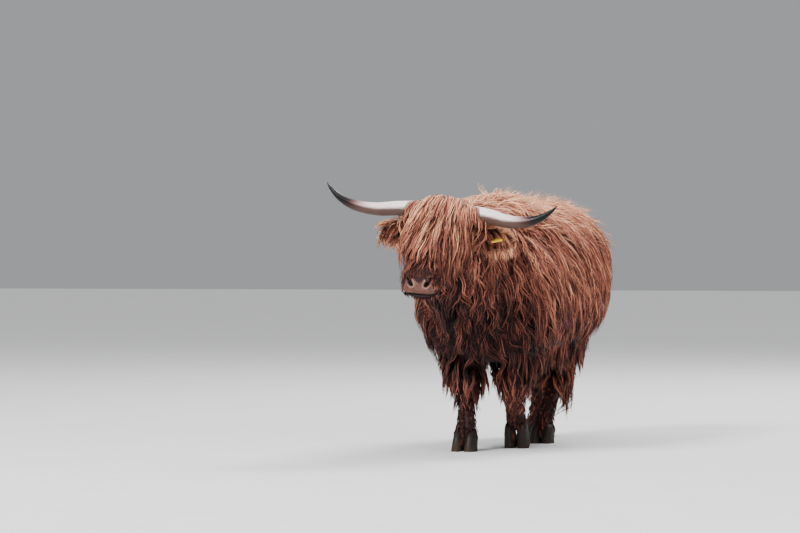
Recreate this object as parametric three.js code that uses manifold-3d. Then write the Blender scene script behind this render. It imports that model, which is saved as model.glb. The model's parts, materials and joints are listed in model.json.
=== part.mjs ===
// A Highland cow in mid walk, life size, as a still model that stands on its own four feet.
// Millimetres, +Z up, floor at z = 0. The cow faces -Y, so its left side is +X.
import * as THREE from "three";
import { mergeVertices } from "three/addons/utils/BufferGeometryUtils.js";
import Module from "manifold-3d";

const wasm = await Module();
wasm.setup();

// ---- driving dimensions ----
const WITHERS = 1114; // height of the bare back over the shoulders
const BACK = 1086; // height of the bare back from the ribs to the hips
const SEAM = 0.3; // gap that touching nodes keep
const POLL = [-120, -1000, 1085]; // top of the skull between the horns
const FACE_PITCH = 40; // slope of the forehead below the level, degrees
const HEAD_ROLL = 4.7; // the right horn is carried higher, degrees
const EYE_RADIUS = 19;
const LID = 5; // thickness of an eyelid
const MOUTH_DEPTH = 10; // how far the line of the mouth cuts in
const CORONET = 70; // height where hair meets hoof
const FORE_CUT = 430; // level where a foreleg leaves the chest
const HIND_CUT = 500; // level where a hind leg leaves the thigh
const CLAW = { half: 26, front: 58, rear: 44, apart: 29.5, tip: 20 };
const HORN_SPREAD = 522; // from the poll to a horn's tip, sideways
const EAR = { length: 215, above: 44, below: 50, thick: 14, droop: 9, sweep: 8 };
const TAG = { along: 140, up: 4, wide: 42, tall: 42, thick: 2.4, stand: 8, boss: 10, pin: 2.6, button: 13 };

const rad = THREE.MathUtils.degToRad;
const vec = (x, y, z) => new THREE.Vector3(x, y, z);
const moved = (x, y, z) => new THREE.Matrix4().makeTranslation(x, y, z);
const turned = (axis, angle) => new THREE.Matrix4().makeRotationAxis(axis, rad(angle));
const [X, Y, Z] = [vec(1, 0, 0), vec(0, 1, 0), vec(0, 0, 1)];

// ---- solids ----
// A closed geometry as a solid, turned right side out.
function solidOf(geometry, tolerance = 1e-4) {
  const bare = new THREE.BufferGeometry().setAttribute("position", geometry.getAttribute("position"));
  bare.setIndex(geometry.index);
  const { attributes, index } = mergeVertices(bare, tolerance);
  const make = (triVerts) =>
    new wasm.Manifold(new wasm.Mesh({ numProp: 3, vertProperties: attributes.position.array, triVerts }));
  const solid = make(new Uint32Array(index.array));
  return solid.volume() > 0 ? solid : make(new Uint32Array(index.array).reverse());
}

function geometryOf(solid) {
  const { vertProperties, triVerts } = solid.getMesh();
  return new THREE.BufferGeometry()
    .setAttribute("position", new THREE.BufferAttribute(vertProperties, 3))
    .setIndex(new THREE.BufferAttribute(triVerts, 1));
}

// Skins a stack of rings of equal size, with a point at each end.
function tube(rings, start, end) {
  const sides = rings[0].length;
  const points = [start, ...rings.flat(), end];
  const rim = 1 + (rings.length - 1) * sides;
  const index = [];
  for (let k = 0; k < sides; k++) {
    const next = (k + 1) % sides;
    index.push(0, 1 + next, 1 + k, rim + k, rim + next, points.length - 1);
    for (let low = 1; low < rim; low += sides) {
      const high = low + sides;
      index.push(low + k, low + next, high + k, low + next, high + next, high + k);
    }
  }
  return solidOf(new THREE.BufferGeometry().setFromPoints(points).setIndex(index));
}

const union = (solids) => wasm.Manifold.union(solids);
const largest = (solid) => solid.decompose().reduce((a, b) => (b.volume() > a.volume() ? b : a));
// The main body of a solid with its shortest edges merged away, and any crumb that hung by one of them.
const main = (solid) => largest(solidOf(geometryOf(largest(solid)), 5e-3));
const ball = (centre, radius) =>
  solidOf(new THREE.SphereGeometry(radius, 9, 6).rotateZ(rad(90)).translate(...centre));

// A form lofted along a spine. Each row is
// [x, y, z, half width, reach above, reach below, coat, lean, squareness]: coat is how far the tips of
// the hair stand over the skin, and lean turns the section about X, so 0 stands upright and -90 lies
// level with its "above" to the front.
class Form {
  constructor(rows, frame = new THREE.Matrix4()) {
    this.rows = rows.map((r) => [...r.slice(0, 7), r[7] ?? 0, r[8] ?? 2.2]);
    this.frame = frame;
    this.knots = [0];
    this.rows.slice(1).forEach((row, i) => {
      const step = vec(...row.slice(0, 3)).distanceTo(vec(...this.rows[i].slice(0, 3)));
      this.knots.push(this.knots[i] + step);
    });
  }

  // All numbers of the section a share s along the spine, by a cubic through the rows.
  section(s) {
    const { rows, knots } = this;
    const t = THREE.MathUtils.clamp(s, 0, 1) * knots.at(-1);
    const i = Math.min(Math.max(knots.findLastIndex((k) => k <= t), 0), rows.length - 2);
    const span = knots[i + 1] - knots[i];
    const u = (t - knots[i]) / span;
    const slope = (j, field) => {
      const [a, b] = [Math.max(j - 1, 0), Math.min(j + 1, rows.length - 1)];
      return (rows[b][field] - rows[a][field]) / (knots[b] - knots[a]);
    };
    return rows[i].map((value, field) => {
      const rise = (rows[i + 1][field] - value) * u * u * (3 - 2 * u);
      const bend = (1 - u) * slope(i, field) - u * slope(i + 1, field);
      return value + rise + u * (1 - u) * bend * span;
    });
  }

  // The surface point at share s and turn (0 the left side, 90 above, 180 the right side), moved out
  // by a share of the coat and a further distance.
  point(s, turn, share = 0, out = 0) {
    const [x, y, z, half, above, below, coat, lean, square] = this.section(s);
    const grow = share * coat + out;
    const [c, d] = [Math.cos(rad(turn)), Math.sin(rad(turn))];
    const across = Math.sign(c) * Math.abs(c) ** (2 / square) * (half + grow);
    const along = Math.sign(d) * Math.abs(d) ** (2 / square) * ((d > 0 ? above : below) + grow);
    const up = vec(0, Math.sin(rad(lean)), Math.cos(rad(lean)));
    return vec(x + across, y, z).addScaledVector(up, along).applyMatrix4(this.frame);
  }

  centre(s) {
    return vec(...this.section(s).slice(0, 3)).applyMatrix4(this.frame);
  }

  // The closed solid with rings shared out evenly between the rows, so that blunt ends keep theirs.
  solid(rings, sides, share = 0, out = 0) {
    const { rows, knots } = this;
    const places = Array.from({ length: rings }, (_, r) => {
      const place = (r / (rings - 1)) * (rows.length - 1);
      const low = Math.min(Math.floor(place), rows.length - 2);
      return THREE.MathUtils.lerp(knots[low], knots[low + 1], place - low) / knots.at(-1);
    });
    const stack = places.map((s) =>
      Array.from({ length: sides }, (_, k) => this.point(s, (360 * k) / sides, share, out)),
    );
    const end = (s, inner) => {
      const past = this.centre(s).sub(this.centre(inner)).normalize();
      return this.centre(s).addScaledVector(past, 2 + share * this.section(s)[6] + out);
    };
    return tube(stack, end(0, places[1]), end(1, places[rings - 2]));
  }
}

// ---- the coat ----
const CORE = 0.42; // share of the coat's depth that is dense undercoat
const ROOT = -0.1; // the same share where a lock is rooted, under the skin
const HANG = -0.3; // an underside that faces down more than this lets its locks hang free

// The same draw every time, from 0 to 1.
function seeded(seed) {
  let state = seed;
  return () => {
    state = (state + 0x6d2b79f5) | 0;
    let mix = Math.imul(state ^ (state >>> 15), 1 | state);
    mix = (mix + Math.imul(mix ^ (mix >>> 7), 61 | mix)) ^ mix;
    return ((mix ^ (mix >>> 14)) >>> 0) / 2 ** 32;
  };
}

// A grown lock moves its faces and its sharp edges and tip by these times the growth, as it twists.
const FACE = 3;
const EDGE = 9;
// Outline of a lock: [share of its length, share of its width, share of its thickness].
const outlineOfLock = [
  [0, 0.6, 1],
  [0.34, 1, 1],
  [0.7, 0.74, 0.8],
  [1, 0, 0],
];

// A flat strip with a ridge that narrows to a point. It is rooted in the undercoat at a share s and a turn
// of a form, follows the form down the lie of the coat while it rises to the coat's full depth, and hangs
// free past an underside or an end.
function lock(form, s, turn, { length, width, thick }, lie, draw, out = 0) {
  const lean = (draw() - 0.5) * 0.7;
  const curl = (draw() - 0.5) * 1.4;
  const long = length * (0.8 + 0.4 * draw());
  const reach = 1 + 0.28 * draw();
  const rings = [];
  let [free, point, normal, ahead] = [false, null, null, null];
  let walked = 0;
  for (const [share, wide, deep] of outlineOfLock) {
    const stride = (share - walked) * long;
    const height = form.section(s)[6] * (ROOT + (reach - ROOT) * Math.sqrt(share));
    if (free) {
      ahead = ahead.clone().multiplyScalar(0.6).addScaledVector(Z, -0.7).normalize();
      point = point.clone().addScaledVector(ahead, stride);
    } else {
      const here = form.point(s, turn, 0, height);
      const probe = s < 0.5 ? 0.004 : -0.004;
      const alongS = form.point(s + probe, turn, 0, height).sub(here).divideScalar(probe);
      const alongT = form.point(s, turn + 1, 0, height).sub(here);
      normal = alongS.clone().cross(alongT).normalize();
      if (normal.dot(here.clone().sub(form.centre(s))) < 0) normal.negate();
      const across = lie.clone().cross(normal).normalize();
      const want = lie.clone().addScaledVector(across, lean + curl * (share - 0.5));
      ahead = want.addScaledVector(normal, -want.dot(normal)).normalize();
      const [e, f, g] = [alongS.dot(alongS), alongS.dot(alongT), alongT.dot(alongT)];
      const [a, b] = [ahead.dot(alongS) * stride, ahead.dot(alongT) * stride];
      s += (a * g - b * f) / (e * g - f * f);
      turn += (b * e - a * f) / (e * g - f * f);
      point = form.point(s, turn, 0, height);
      free = normal.z < HANG || s <= 0 || s >= 1;
    }
    const up = normal.clone().addScaledVector(ahead, -normal.dot(ahead)).normalize();
    const side = ahead.clone().cross(up);
    const half = (width * wide) / 2 + EDGE * out;
    const [ridge, sole] = [0.6 * thick * deep + FACE * out, 0.3 * thick * deep + FACE * out];
    walked = share;
    if (wide === 0) continue;
    const back = share === 0 ? FACE * out : 0;
    const corner = (across, rise) =>
      point.clone().addScaledVector(side, across).addScaledVector(up, rise).addScaledVector(ahead, -back);
    rings.push([corner(half, -sole), corner(0, ridge), corner(-half, -sole)]);
  }
  const middle = (ring) => ring.reduce((sum, p) => sum.add(p), vec()).divideScalar(ring.length);
  const past = point.clone().sub(middle(rings.at(-1))).normalize();
  return tube(rings, middle(rings[0]), point.clone().addScaledVector(past, EDGE * out));
}

// Locks set over a form in tiers of [turn, first share, last share, count, share of the length], each tier
// set off from the last by half a step. All of them grow by "out" to make a cutter.
function locks(form, tiers, { length, width, thick }, lie, seed, out = 0) {
  const draw = seeded(seed);
  return tiers.flatMap(([turn, first, last, count, part = 1], tier) =>
    Array.from({ length: count }, (_, i) => {
      const place = (i + 0.25 + 0.5 * (tier % 2) + 0.3 * (draw() - 0.5)) / count;
      const s = THREE.MathUtils.lerp(first, last, place);
      const size = { length: length * part, width, thick };
      return lock(form, s, turn + 8 * (draw() - 0.5), size, lie, draw, out);
    }),
  );
}

// ---- the tiers of the coat ----
const DOWN_BACK = vec(0, 0.3, -1).normalize();
const DOWN = vec(0, 0.08, -1).normalize();
const mirrored = (tiers) => tiers.flatMap(([turn, ...rest]) => [[turn, ...rest], [180 - turn, ...rest]]);

const bodySize = { length: 320, width: 132, thick: 28 };
const trunkTiers = mirrored([
  [82, 0.04, 0.96, 7],
  [48, 0.02, 0.96, 8],
  [20, 0.01, 0.98, 9],
  [-8, 0.01, 0.97, 9, 0.85],
  [-38, 0.06, 0.96, 8, 0.6],
]);
const rumpTiers = mirrored([
  [60, 0.955, 0.985, 1, 0.8],
  [15, 0.955, 0.985, 2, 0.8],
]);
const neckSize = { length: 270, width: 118, thick: 26 };
const neckTiers = mirrored([
  [72, 0.06, 0.9, 3],
  [18, 0.04, 0.92, 4],
  [-30, 0.1, 0.9, 4, 0.85],
]).concat([[-90, 0.2, 0.9, 3, 0.75]]);
const forelockSize = { length: 240, width: 74, thick: 20 };
const forelockTiers = mirrored([
  [80, 0.05, 0.72, 4],
  [54, 0.1, 0.72, 3],
  [28, 0.03, 0.74, 4],
  [2, 0.12, 0.7, 3, 0.8],
]);
const limbSize = { length: 160, width: 92, thick: 20 };
const limbTiers = [90, 18, -54, -126, 162]
  .map((turn) => [turn, 0.38, 0.48, 1])
  .concat([45, -60, 180].map((turn) => [turn, 0.52, 0.6, 1, 0.8]));
const fringeSize = { length: 120, width: 92, thick: 16 };
const fringeTiers = [[-90, 0.15, 1.05, 2]];
const switchSize = { length: 300, width: 62, thick: 18 };
const switchTiers = [-30, 90, 210].map((turn) => [turn, 0.1, 0.5, 1]);

// ---- frames of the head ----
const headFrame = moved(...POLL).multiply(turned(Y, HEAD_ROLL));
const faceFrame = headFrame.clone().multiply(turned(X, FACE_PITCH));
const face = (x, y, z) => vec(x, y, z).applyMatrix4(faceFrame);

// ---- body forms, as bare skin under the coat ----
const trunk = new Form([
  [-48, -668, 700, 70, 80, 120, 54],
  [-48, -650, 696, 165, 185, 210, 58],
  [-48, -608, 692, 238, 300, 266, 62],
  [-44, -530, 696, 272, 396, 298, 60],
  [-34, -440, 700, 274, WITHERS - 702, 306, 54],
  [-22, -300, 700, 270, WITHERS - 703, 286, 50],
  [-8, -100, 700, 282, BACK - 692, 272, 50],
  [0, 120, 704, 292, BACK - 704, 262, 50],
  [0, 300, 728, 282, BACK - 731, 255, 50],
  [0, 430, 760, 262, BACK - 765, 258, 50],
  [0, 560, 785, 240, 278, 250, 50],
  [0, 645, 796, 208, 244, 236, 50],
  [0, 702, 802, 168, 205, 208, 50],
  [0, 735, 806, 116, 150, 160, 50],
  [0, 750, 806, 56, 70, 80, 50],
]);
const neck = new Form([
  [-34, -420, 800, 215, 302, 300, 50, 0],
  [-44, -520, 815, 210, 280, 325, 54, 6],
  [-62, -640, 848, 192, 240, 318, 56, 12],
  [-84, -760, 892, 166, 196, 280, 54, 18],
  [-104, -870, 935, 138, 152, 220, 46, 22],
  [-118, -960, 968, 116, 114, 165, 30, 28],
  [-122, -1010, 985, 84, 84, 112, 12, 30],
]);
const skull = new Form(
  [
    [0, 55, -110, 50, 55, 60, 12],
    [0, 32, -105, 86, 92, 92, 12],
    [0, -10, -105, 100, 106, 108, 12],
    [0, -70, -100, 107, 108, 120, 10],
    [0, -130, -98, 110, 106, 124, 8],
    [0, -190, -95, 100, 98, 114, 8],
    [1, -250, -90, 86, 86, 96, 8],
    [2, -310, -80, 75, 74, 76, 8],
    [3, -360, -70, 73, 64, 62, 6, 4],
    [4, -400, -64, 77, 57, 54, 3, 10, 2.4],
    [5, -432, -62, 80, 53, 48, 0, 16, 2.6],
    [5, -456, -64, 77, 49, 43, 0, 22, 2.6],
    [5, -472, -68, 60, 38, 32, 0, 26, 2.4],
  ],
  faceFrame,
);
// The scalp that the forelock grows from.
const forelock = new Form(
  [
    [0, 56, -66, 44, 44, 30, 40],
    [0, 26, -66, 90, 86, 50, 46],
    [0, -40, -72, 108, 100, 70, 50],
    [0, -120, -74, 116, 94, 82, 54],
    [0, -200, -72, 114, 82, 76, 58],
    [0, -280, -68, 96, 70, 60, 58],
    [0, -345, -62, 74, 58, 30, 50],
    [0, -370, -58, 44, 40, 10, 42],
  ],
  faceFrame,
);

// A leg from its levels: [height, x, y, half width, reach to the front, reach to the rear, coat].
const leg = (levels) =>
  new Form(levels.map(([z, x, y, half, front, rear, coat]) => [x, y, z, half, front, rear, coat, -90, 2.1]));
const legs = {
  fore_right: leg([
    [760, -140, -430, 80, 125, 125, 50],
    [640, -142, -452, 80, 112, 108, 56],
    [540, -150, -480, 78, 92, 92, 62],
    [440, -150, -512, 66, 70, 72, 66],
    [360, -144, -535, 52, 54, 54, 54],
    [312, -138, -547, 49, 49, 45, 28],
    [262, -136, -555, 39, 39, 39, 16],
    [185, -132, -567, 33, 33, 36, 9],
    [132, -128, -575, 38, 39, 44, 9],
    [98, -126, -590, 37, 36, 39, 9],
    [56, -124, -606, 44, 46, 48, 8],
  ]),
  fore_left: leg([
    [760, 100, -410, 80, 125, 125, 50],
    [640, 100, -425, 80, 112, 108, 56],
    [540, 98, -442, 74, 92, 92, 60],
    [440, 92, -460, 60, 68, 70, 56],
    [368, 80, -472, 50, 52, 50, 44],
    [322, 66, -466, 49, 56, 48, 38],
    [274, 54, -432, 40, 50, 50, 34],
    [215, 46, -385, 34, 44, 46, 18],
    [165, 42, -349, 38, 46, 50, 9],
    [125, 40, -334, 38, 42, 46, 9],
    [82, 40, -334, 38, 40, 46, 8],
  ]),
  hind_right: leg([
    [860, -118, 520, 108, 190, 176, 50],
    [760, -118, 515, 112, 192, 176, 56],
    [660, -116, 505, 102, 168, 154, 64],
    [590, -114, 512, 88, 132, 124, 68],
    [530, -112, 545, 72, 98, 94, 68],
    [470, -110, 590, 56, 72, 72, 64],
    [420, -109, 630, 47, 58, 58, 50],
    [370, -108, 648, 41, 47, 50, 32],
    [280, -106, 660, 34, 37, 41, 14],
    [190, -104, 668, 33, 35, 38, 9],
    [135, -102, 668, 39, 41, 46, 9],
    [98, -102, 650, 38, 38, 40, 9],
    [56, -102, 634, 44, 46, 48, 8],
  ]),
  hind_left: leg([
    [860, 110, 505, 108, 186, 186, 50],
    [760, 110, 478, 112, 192, 196, 56],
    [660, 106, 425, 102, 172, 176, 64],
    [590, 102, 388, 88, 132, 136, 70],
    [530, 96, 372, 73, 98, 100, 74],
    [465, 88, 370, 57, 74, 76, 74],
    [405, 82, 372, 47, 60, 60, 62],
    [350, 78, 345, 42, 50, 52, 50],
    [280, 68, 292, 36, 41, 45, 28],
    [205, 60, 230, 34, 41, 45, 9],
    [142, 54, 180, 39, 46, 49, 9],
    [100, 52, 150, 38, 41, 43, 9],
    [56, 52, 128, 44, 46, 50, 8],
  ]),
};
const isFore = (foot) => foot.startsWith("fore");
const cutLevel = (foot) => (isFore(foot) ? FORE_CUT : HIND_CUT);
const BETWEEN = { fore: -24, hind: -14 }; // where the coats of a pair of legs meet, sideways
const LEG_ROOM = { share: 1.3, past: 16 }; // a leg's space, as a share of its coat and a distance past it

// ---- hooves: two claws to a foot, each place as [x, y, height of the coronet, pitch] ----
const hooves = {
  fore_right: [-124, -606, CORONET, 0],
  fore_left: [40, -340, CORONET + 26, 40],
  hind_right: [-102, 634, CORONET, 0],
  hind_left: [52, 128, CORONET, 0],
};
function claw([x, y, z, pitch], side, grow = 0) {
  const { half, front, rear, apart, tip } = CLAW;
  const level = (height, forward, share) => [
    side * apart, -forward, height, half * share, front * share, rear * share, 0, -90, 2.3,
  ];
  const levels = [
    level(18, -6, 0.6),
    level(0, 0, 0.84),
    level(-CORONET / 2, tip / 2, 0.97),
    level(-CORONET - 14, tip, 1.08),
  ];
  const form = new Form(levels, moved(x, y, z).multiply(turned(X, pitch)));
  return form.solid(4, 9, 0, grow).trimByPlane([0, 0, 1], 0);
}

// ---- horns ----
// Centre line as [share of the spread, y, z] from the poll, and the radius there.
const hornLine = [
  [0.12, 25, -18, 37],
  [0.25, 22, -16, 35],
  [0.4, 6, -20, 32],
  [0.57, -22, -32, 29],
  [0.74, -48, -26, 24],
  [0.87, -60, 0, 16],
  [0.96, -60, 36, 8],
  [1, -56, 60, 2],
];
function horn(side, lift, grow = 0) {
  const centres = hornLine.map(([share, y, z]) =>
    vec(side * share * HORN_SPREAD, y, z + lift * share ** 2).applyMatrix4(headFrame),
  );
  const curve = new THREE.CatmullRomCurve3(centres);
  const [steps, sides] = [11, 9];
  const rings = [];
  for (let i = 0; i <= steps; i++) {
    const place = (i / steps) * (hornLine.length - 1);
    const low = Math.min(Math.floor(place), hornLine.length - 2);
    const radius = THREE.MathUtils.lerp(hornLine[low][3], hornLine[low + 1][3], place - low) + grow;
    const along = curve.getTangent(i / steps);
    const up = Z.clone().addScaledVector(along, -along.z).normalize();
    const fore = along.clone().cross(up);
    const ring = Array.from({ length: sides }, (_, k) => {
      const turn = rad((360 * k) / sides);
      return curve
        .getPoint(i / steps)
        .addScaledVector(up, radius * Math.cos(turn))
        .addScaledVector(fore, radius * Math.sin(turn));
    });
    rings.push(ring);
  }
  return tube(
    rings,
    curve.getPoint(0).addScaledVector(curve.getTangent(0), -2 - grow),
    curve.getPoint(1).addScaledVector(curve.getTangent(1), 4 + grow),
  );
}

// ---- ears ----
// An ear grows along its own +Y, as an upright leaf with its cup to the front.
const earFrame = (side) =>
  headFrame
    .clone()
    .multiply(moved(side * 96, 62, -98))
    .multiply(turned(Y, side * EAR.droop))
    .multiply(turned(Z, side * (EAR.sweep - 90)));
function earLeaf(side, scale, forward) {
  const { length, above, below, thick } = EAR;
  const leaf = (share, width) => [
    side * forward, share * length, 0,
    thick * scale * (0.6 + 0.4 * width), above * width * scale, below * width * scale, 26, 0, 2,
  ];
  const outline = [
    leaf(-0.12, 0.45), leaf(0.08, 0.58), leaf(0.32, 0.94), leaf(0.6, 1), leaf(0.84, 0.66), leaf(0.98, 0.25),
  ];
  return new Form(outline, earFrame(side));
}
const CUP = { scale: 0.78, forward: 12 };
const EAR_SEED = { 1: 61, [-1]: 62 };
function ear(side, out = 0) {
  const form = earLeaf(side, 1, 0);
  const outward = vec(side, -0.1, -1).normalize();
  const fringe = locks(form, fringeTiers, fringeSize, outward, EAR_SEED[side], out);
  return union([form.solid(7, 10, 0, out), ...fringe]);
}
const earCup = (side) => earLeaf(side, CUP.scale, CUP.forward).solid(6, 10, 0);

// ---- ear tag: a panel in the cup of the left ear, its pin, and a button behind the ear ----
const earFront = CUP.forward - EAR.thick * CUP.scale; // the floor of the cup, along the ear's own +X
const rod = (radius, from, to) =>
  new THREE.CylinderGeometry(radius, radius, to - from, 10)
    .rotateZ(rad(90))
    .translate((from + to) / 2, TAG.along, TAG.up);
const onEar = (geometry) => solidOf(geometry.applyMatrix4(earFrame(1)));
const tagHole = () => onEar(rod(TAG.pin + SEAM, -2 * EAR.thick, 2 * EAR.thick));
function tagPanel() {
  const { along, up, wide, tall, thick, stand, boss, pin } = TAG;
  const back = earFront + stand;
  const shoulder = 14;
  const outline = new THREE.Shape()
    .moveTo(-wide / 2, -tall)
    .lineTo(wide / 2, -tall)
    .lineTo(wide / 2, -shoulder)
    .lineTo(boss, 0)
    .absarc(0, 0, boss, 0, Math.PI)
    .lineTo(-wide / 2, -shoulder);
  const plate = new THREE.ExtrudeGeometry(outline, { depth: thick, bevelEnabled: false, curveSegments: 6 })
    .applyMatrix4(new THREE.Matrix4().makeBasis(Y, Z, X))
    .translate(back, along, up);
  const stem = rod(pin, -EAR.thick - SEAM, back + thick / 2);
  const head = rod(boss * 0.6, back + thick / 2, back + 2 * thick);
  return union([plate, stem, head].map(onEar));
}
const tagButton = () => onEar(rod(TAG.button, -EAR.thick - 2 * SEAM - TAG.thick, -EAR.thick - 2 * SEAM));

// ---- eyes and lids ----
const eyePlace = (side) => face(side * 88, -150, -56);
// A leaf-shaped opening between the lids, which widens outwards through the hair.
function lidOpening(side) {
  const [long, high] = [19, 11];
  const ring = (out, scale) =>
    Array.from({ length: 12 }, (_, k) => {
      const turn = rad(30 * k);
      const [c, s] = [Math.cos(turn), Math.sin(turn)];
      return face(side * (88 + out), -150 + long * scale * c, -56 + high * scale * Math.sign(s) * s * s);
    });
  const ringless = (out) => face(side * (88 + out), -150, -56);
  return tube([ring(6, 0.9), ring(26, 1.05), ring(120, 1.5)], ringless(2), ringless(124));
}

// ---- nostrils and mouth ----
const NOSE = [5, -457, -42]; // midway between the nostrils, in the frame of the face
function nostril(side) {
  const pit = new THREE.SphereGeometry(1, 10, 7).scale(12, 20, 12).rotateZ(rad(side * 25));
  const [x, y, z] = NOSE;
  return solidOf(pit.applyMatrix4(faceFrame.clone().multiply(moved(x + side * 40, y, z))));
}
// The line of the mouth is a thin lens in side view, drawn across the muzzle.
function mouthLens() {
  const [corner, lips, front] = [vec(-384, -80), vec(-430, -94), vec(-505, -84)];
  const gap = 7;
  const lens = new THREE.Shape()
    .moveTo(corner.x, corner.y)
    .quadraticCurveTo(lips.x, lips.y, front.x, front.y)
    .lineTo(front.x, front.y - gap)
    .quadraticCurveTo(lips.x, lips.y - gap, corner.x, corner.y);
  const wide = 200;
  const slab = new THREE.ExtrudeGeometry(lens, { depth: wide, bevelEnabled: false, curveSegments: 5 });
  const across = new THREE.Matrix4().makeBasis(Y, Z, X);
  return solidOf(slab.translate(0, 0, -wide / 2).applyMatrix4(faceFrame.clone().multiply(across)));
}

// ---- tail ----
const tail = new Form([
  [0, 690, 1030, 34, 20, 24, 8, -30],
  [0, 745, 1042, 33, 24, 26, 8, -45],
  [0, 792, 1020, 30, 26, 26, 8, -70],
  [0, 815, 950, 27, 24, 24, 8, -88],
  [0, 822, 840, 23, 20, 20, 8, -90],
  [0, 824, 706, 20, 18, 18, 8, -90],
]);
const tailSwitch = new Form([
  [0, 824, 712, 20, 18, 18, 8, -90],
  [0, 824, 640, 24, 22, 22, 14, -90],
  [0, 824, 540, 30, 26, 26, 20, -90],
  [0, 822, 430, 30, 26, 26, 22, -90],
  [0, 820, 330, 20, 18, 18, 18, -90],
  [0, 818, 262, 4, 4, 4, 8, -90],
]);
const SWITCH_TOP = 700;

// ---- assembly ----
const sides = { left: 1, right: -1 };
const nodes = new Map();
const add = (name, solid, slot) => nodes.set(name, { solid, slot });
const cutters = [];

// The space that belongs to a leg, out past the tips of its hair.
function legSpace(foot, out = 0) {
  const side = foot.endsWith("left") ? 1 : -1;
  const between = isFore(foot) ? BETWEEN.fore : BETWEEN.hind;
  return legs[foot]
    .solid(12, 10, LEG_ROOM.share, LEG_ROOM.past + out)
    .trimByPlane([0, 0, -1], -cutLevel(foot) - out)
    .trimByPlane([side, 0, 0], side * between + SEAM / 2 - out);
}
const limbs = Object.entries(legs).flatMap(([foot, form], index) => [
  form.solid(13, 10, CORE),
  ...locks(form, limbTiers, limbSize, DOWN, 50 + index),
]);

const hornLift = { left: -12, right: 11 };
for (const [name, side] of Object.entries(sides)) {
  add(`horn_${name}`, horn(side, hornLift[name]), "horn");
  const cutHorn = horn(side, hornLift[name], SEAM);
  add(`ear_${name}`, ear(side).subtract(union([earCup(side), cutHorn, tagHole()])), "coat");
  add(`eye_${name}`, ball(eyePlace(side), EYE_RADIUS), "eye");
  cutters.push(cutHorn, ear(side, SEAM), ball(eyePlace(side), EYE_RADIUS + SEAM), lidOpening(side));
}
add("ear_tag", tagPanel(), "tag");
add("ear_tag_button", tagButton(), "tag");

add("tail", tail.solid(10, 12, 1).trimByPlane([0, 0, 1], SWITCH_TOP + SEAM), "coat");
const hank = union([tailSwitch.solid(6, 8, CORE), ...locks(tailSwitch, switchTiers, switchSize, DOWN, 71)]);
add("tail_switch", hank.trimByPlane([0, 0, -1], -SWITCH_TOP), "coat_dark");
cutters.push(tail.solid(10, 12, 1, SEAM));

const mouth = mouthLens().subtract(skull.solid(24, 20, 1, -MOUTH_DEPTH));
const lidBalls = [1, -1].map((side) => ball(eyePlace(side), EYE_RADIUS + LID));
const cores = [
  trunk.solid(15, 14, CORE),
  neck.solid(8, 12, CORE),
  skull.solid(22, 16, 1),
  forelock.solid(8, 12, CORE),
];
const hair = [
  ...locks(trunk, trunkTiers, bodySize, DOWN_BACK, 1),
  ...locks(trunk, rumpTiers, bodySize, DOWN, 2),
  ...locks(neck, neckTiers, neckSize, DOWN, 3),
  ...locks(forelock, forelockTiers, forelockSize, DOWN, 4),
];
const whole = union([...cores, ...lidBalls, ...limbs, ...hair]);
for (const foot of Object.keys(legs)) {
  const side = foot.endsWith("left") ? 1 : -1;
  let shank = whole.intersect(legSpace(foot));
  for (const [place, away] of Object.entries({ inner: -side, outer: side })) {
    add(`hoof_${foot}_${place}`, claw(hooves[foot], away), "hoof");
    shank = shank.subtract(claw(hooves[foot], away, SEAM));
  }
  add(`leg_${foot}`, shank, "coat_dark");
  cutters.push(legSpace(foot, SEAM));
}
const body = whole.subtract(union([...cutters, mouth, nostril(1), nostril(-1)]));
// Thin planar cuts part the head from the neck and the neck from the torso.
function part(solid, point, normal) {
  const n = vec(...normal).normalize();
  const offset = n.dot(vec(...point));
  return [
    solid.trimByPlane(n.toArray(), offset + SEAM / 2),
    solid.trimByPlane(n.clone().negate().toArray(), -offset + SEAM / 2),
  ];
}
const [torso, front] = part(body, [-20, -545, 800], [0, 1, -0.18]);
const [neckPart, head] = part(front, [-120, -960, 1000], [0, 1, 0.16]);
add("torso", torso, "coat");
add("neck", neckPart, "coat");
add("head", head, "coat");

const finishes = {
  coat: { color: 0x8a4a2c, roughness: 0.85 },
  coat_dark: { color: 0x4a281c, roughness: 0.85 },
  horn: { color: 0xcdbfb0, roughness: 0.45 },
  hoof: { color: 0x3a302a, roughness: 0.6 },
  eye: { color: 0x1a120e, roughness: 0.1 },
  tag: { color: 0xd8c51e, roughness: 0.5 },
};
const cow = new THREE.Group();
for (const [name, { solid, slot }] of nodes) {
  const geometry = geometryOf(main(solid));
  geometry.computeVertexNormals();
  const mesh = new THREE.Mesh(geometry, new THREE.MeshStandardMaterial({ ...finishes[slot], metalness: 0 }));
  mesh.name = name;
  cow.add(mesh);
}
// The origin is on the floor under the middle of the whole.
const middle = new THREE.Box3().setFromObject(cow).getCenter(vec());
cow.position.set(-middle.x, -middle.y, 0);
export default cow;
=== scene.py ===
"""A life-size Highland cow in mid walk, as a still model: skin, long coat, horns, hooves, eyes and ear tag.

Metres, +Z up, floor at z = 0. The cow faces -Y, so its left side is +X. Tables of body shapes are in
millimetres, as [x, y, z, half width, reach above, reach below, coat, lean, squareness].
"""

import json
import math
from contextlib import contextmanager
from dataclasses import dataclass

import bmesh
import bpy
import numpy as np
from mathutils import Matrix, Vector
from mathutils.bvhtree import BVHTree

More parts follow.
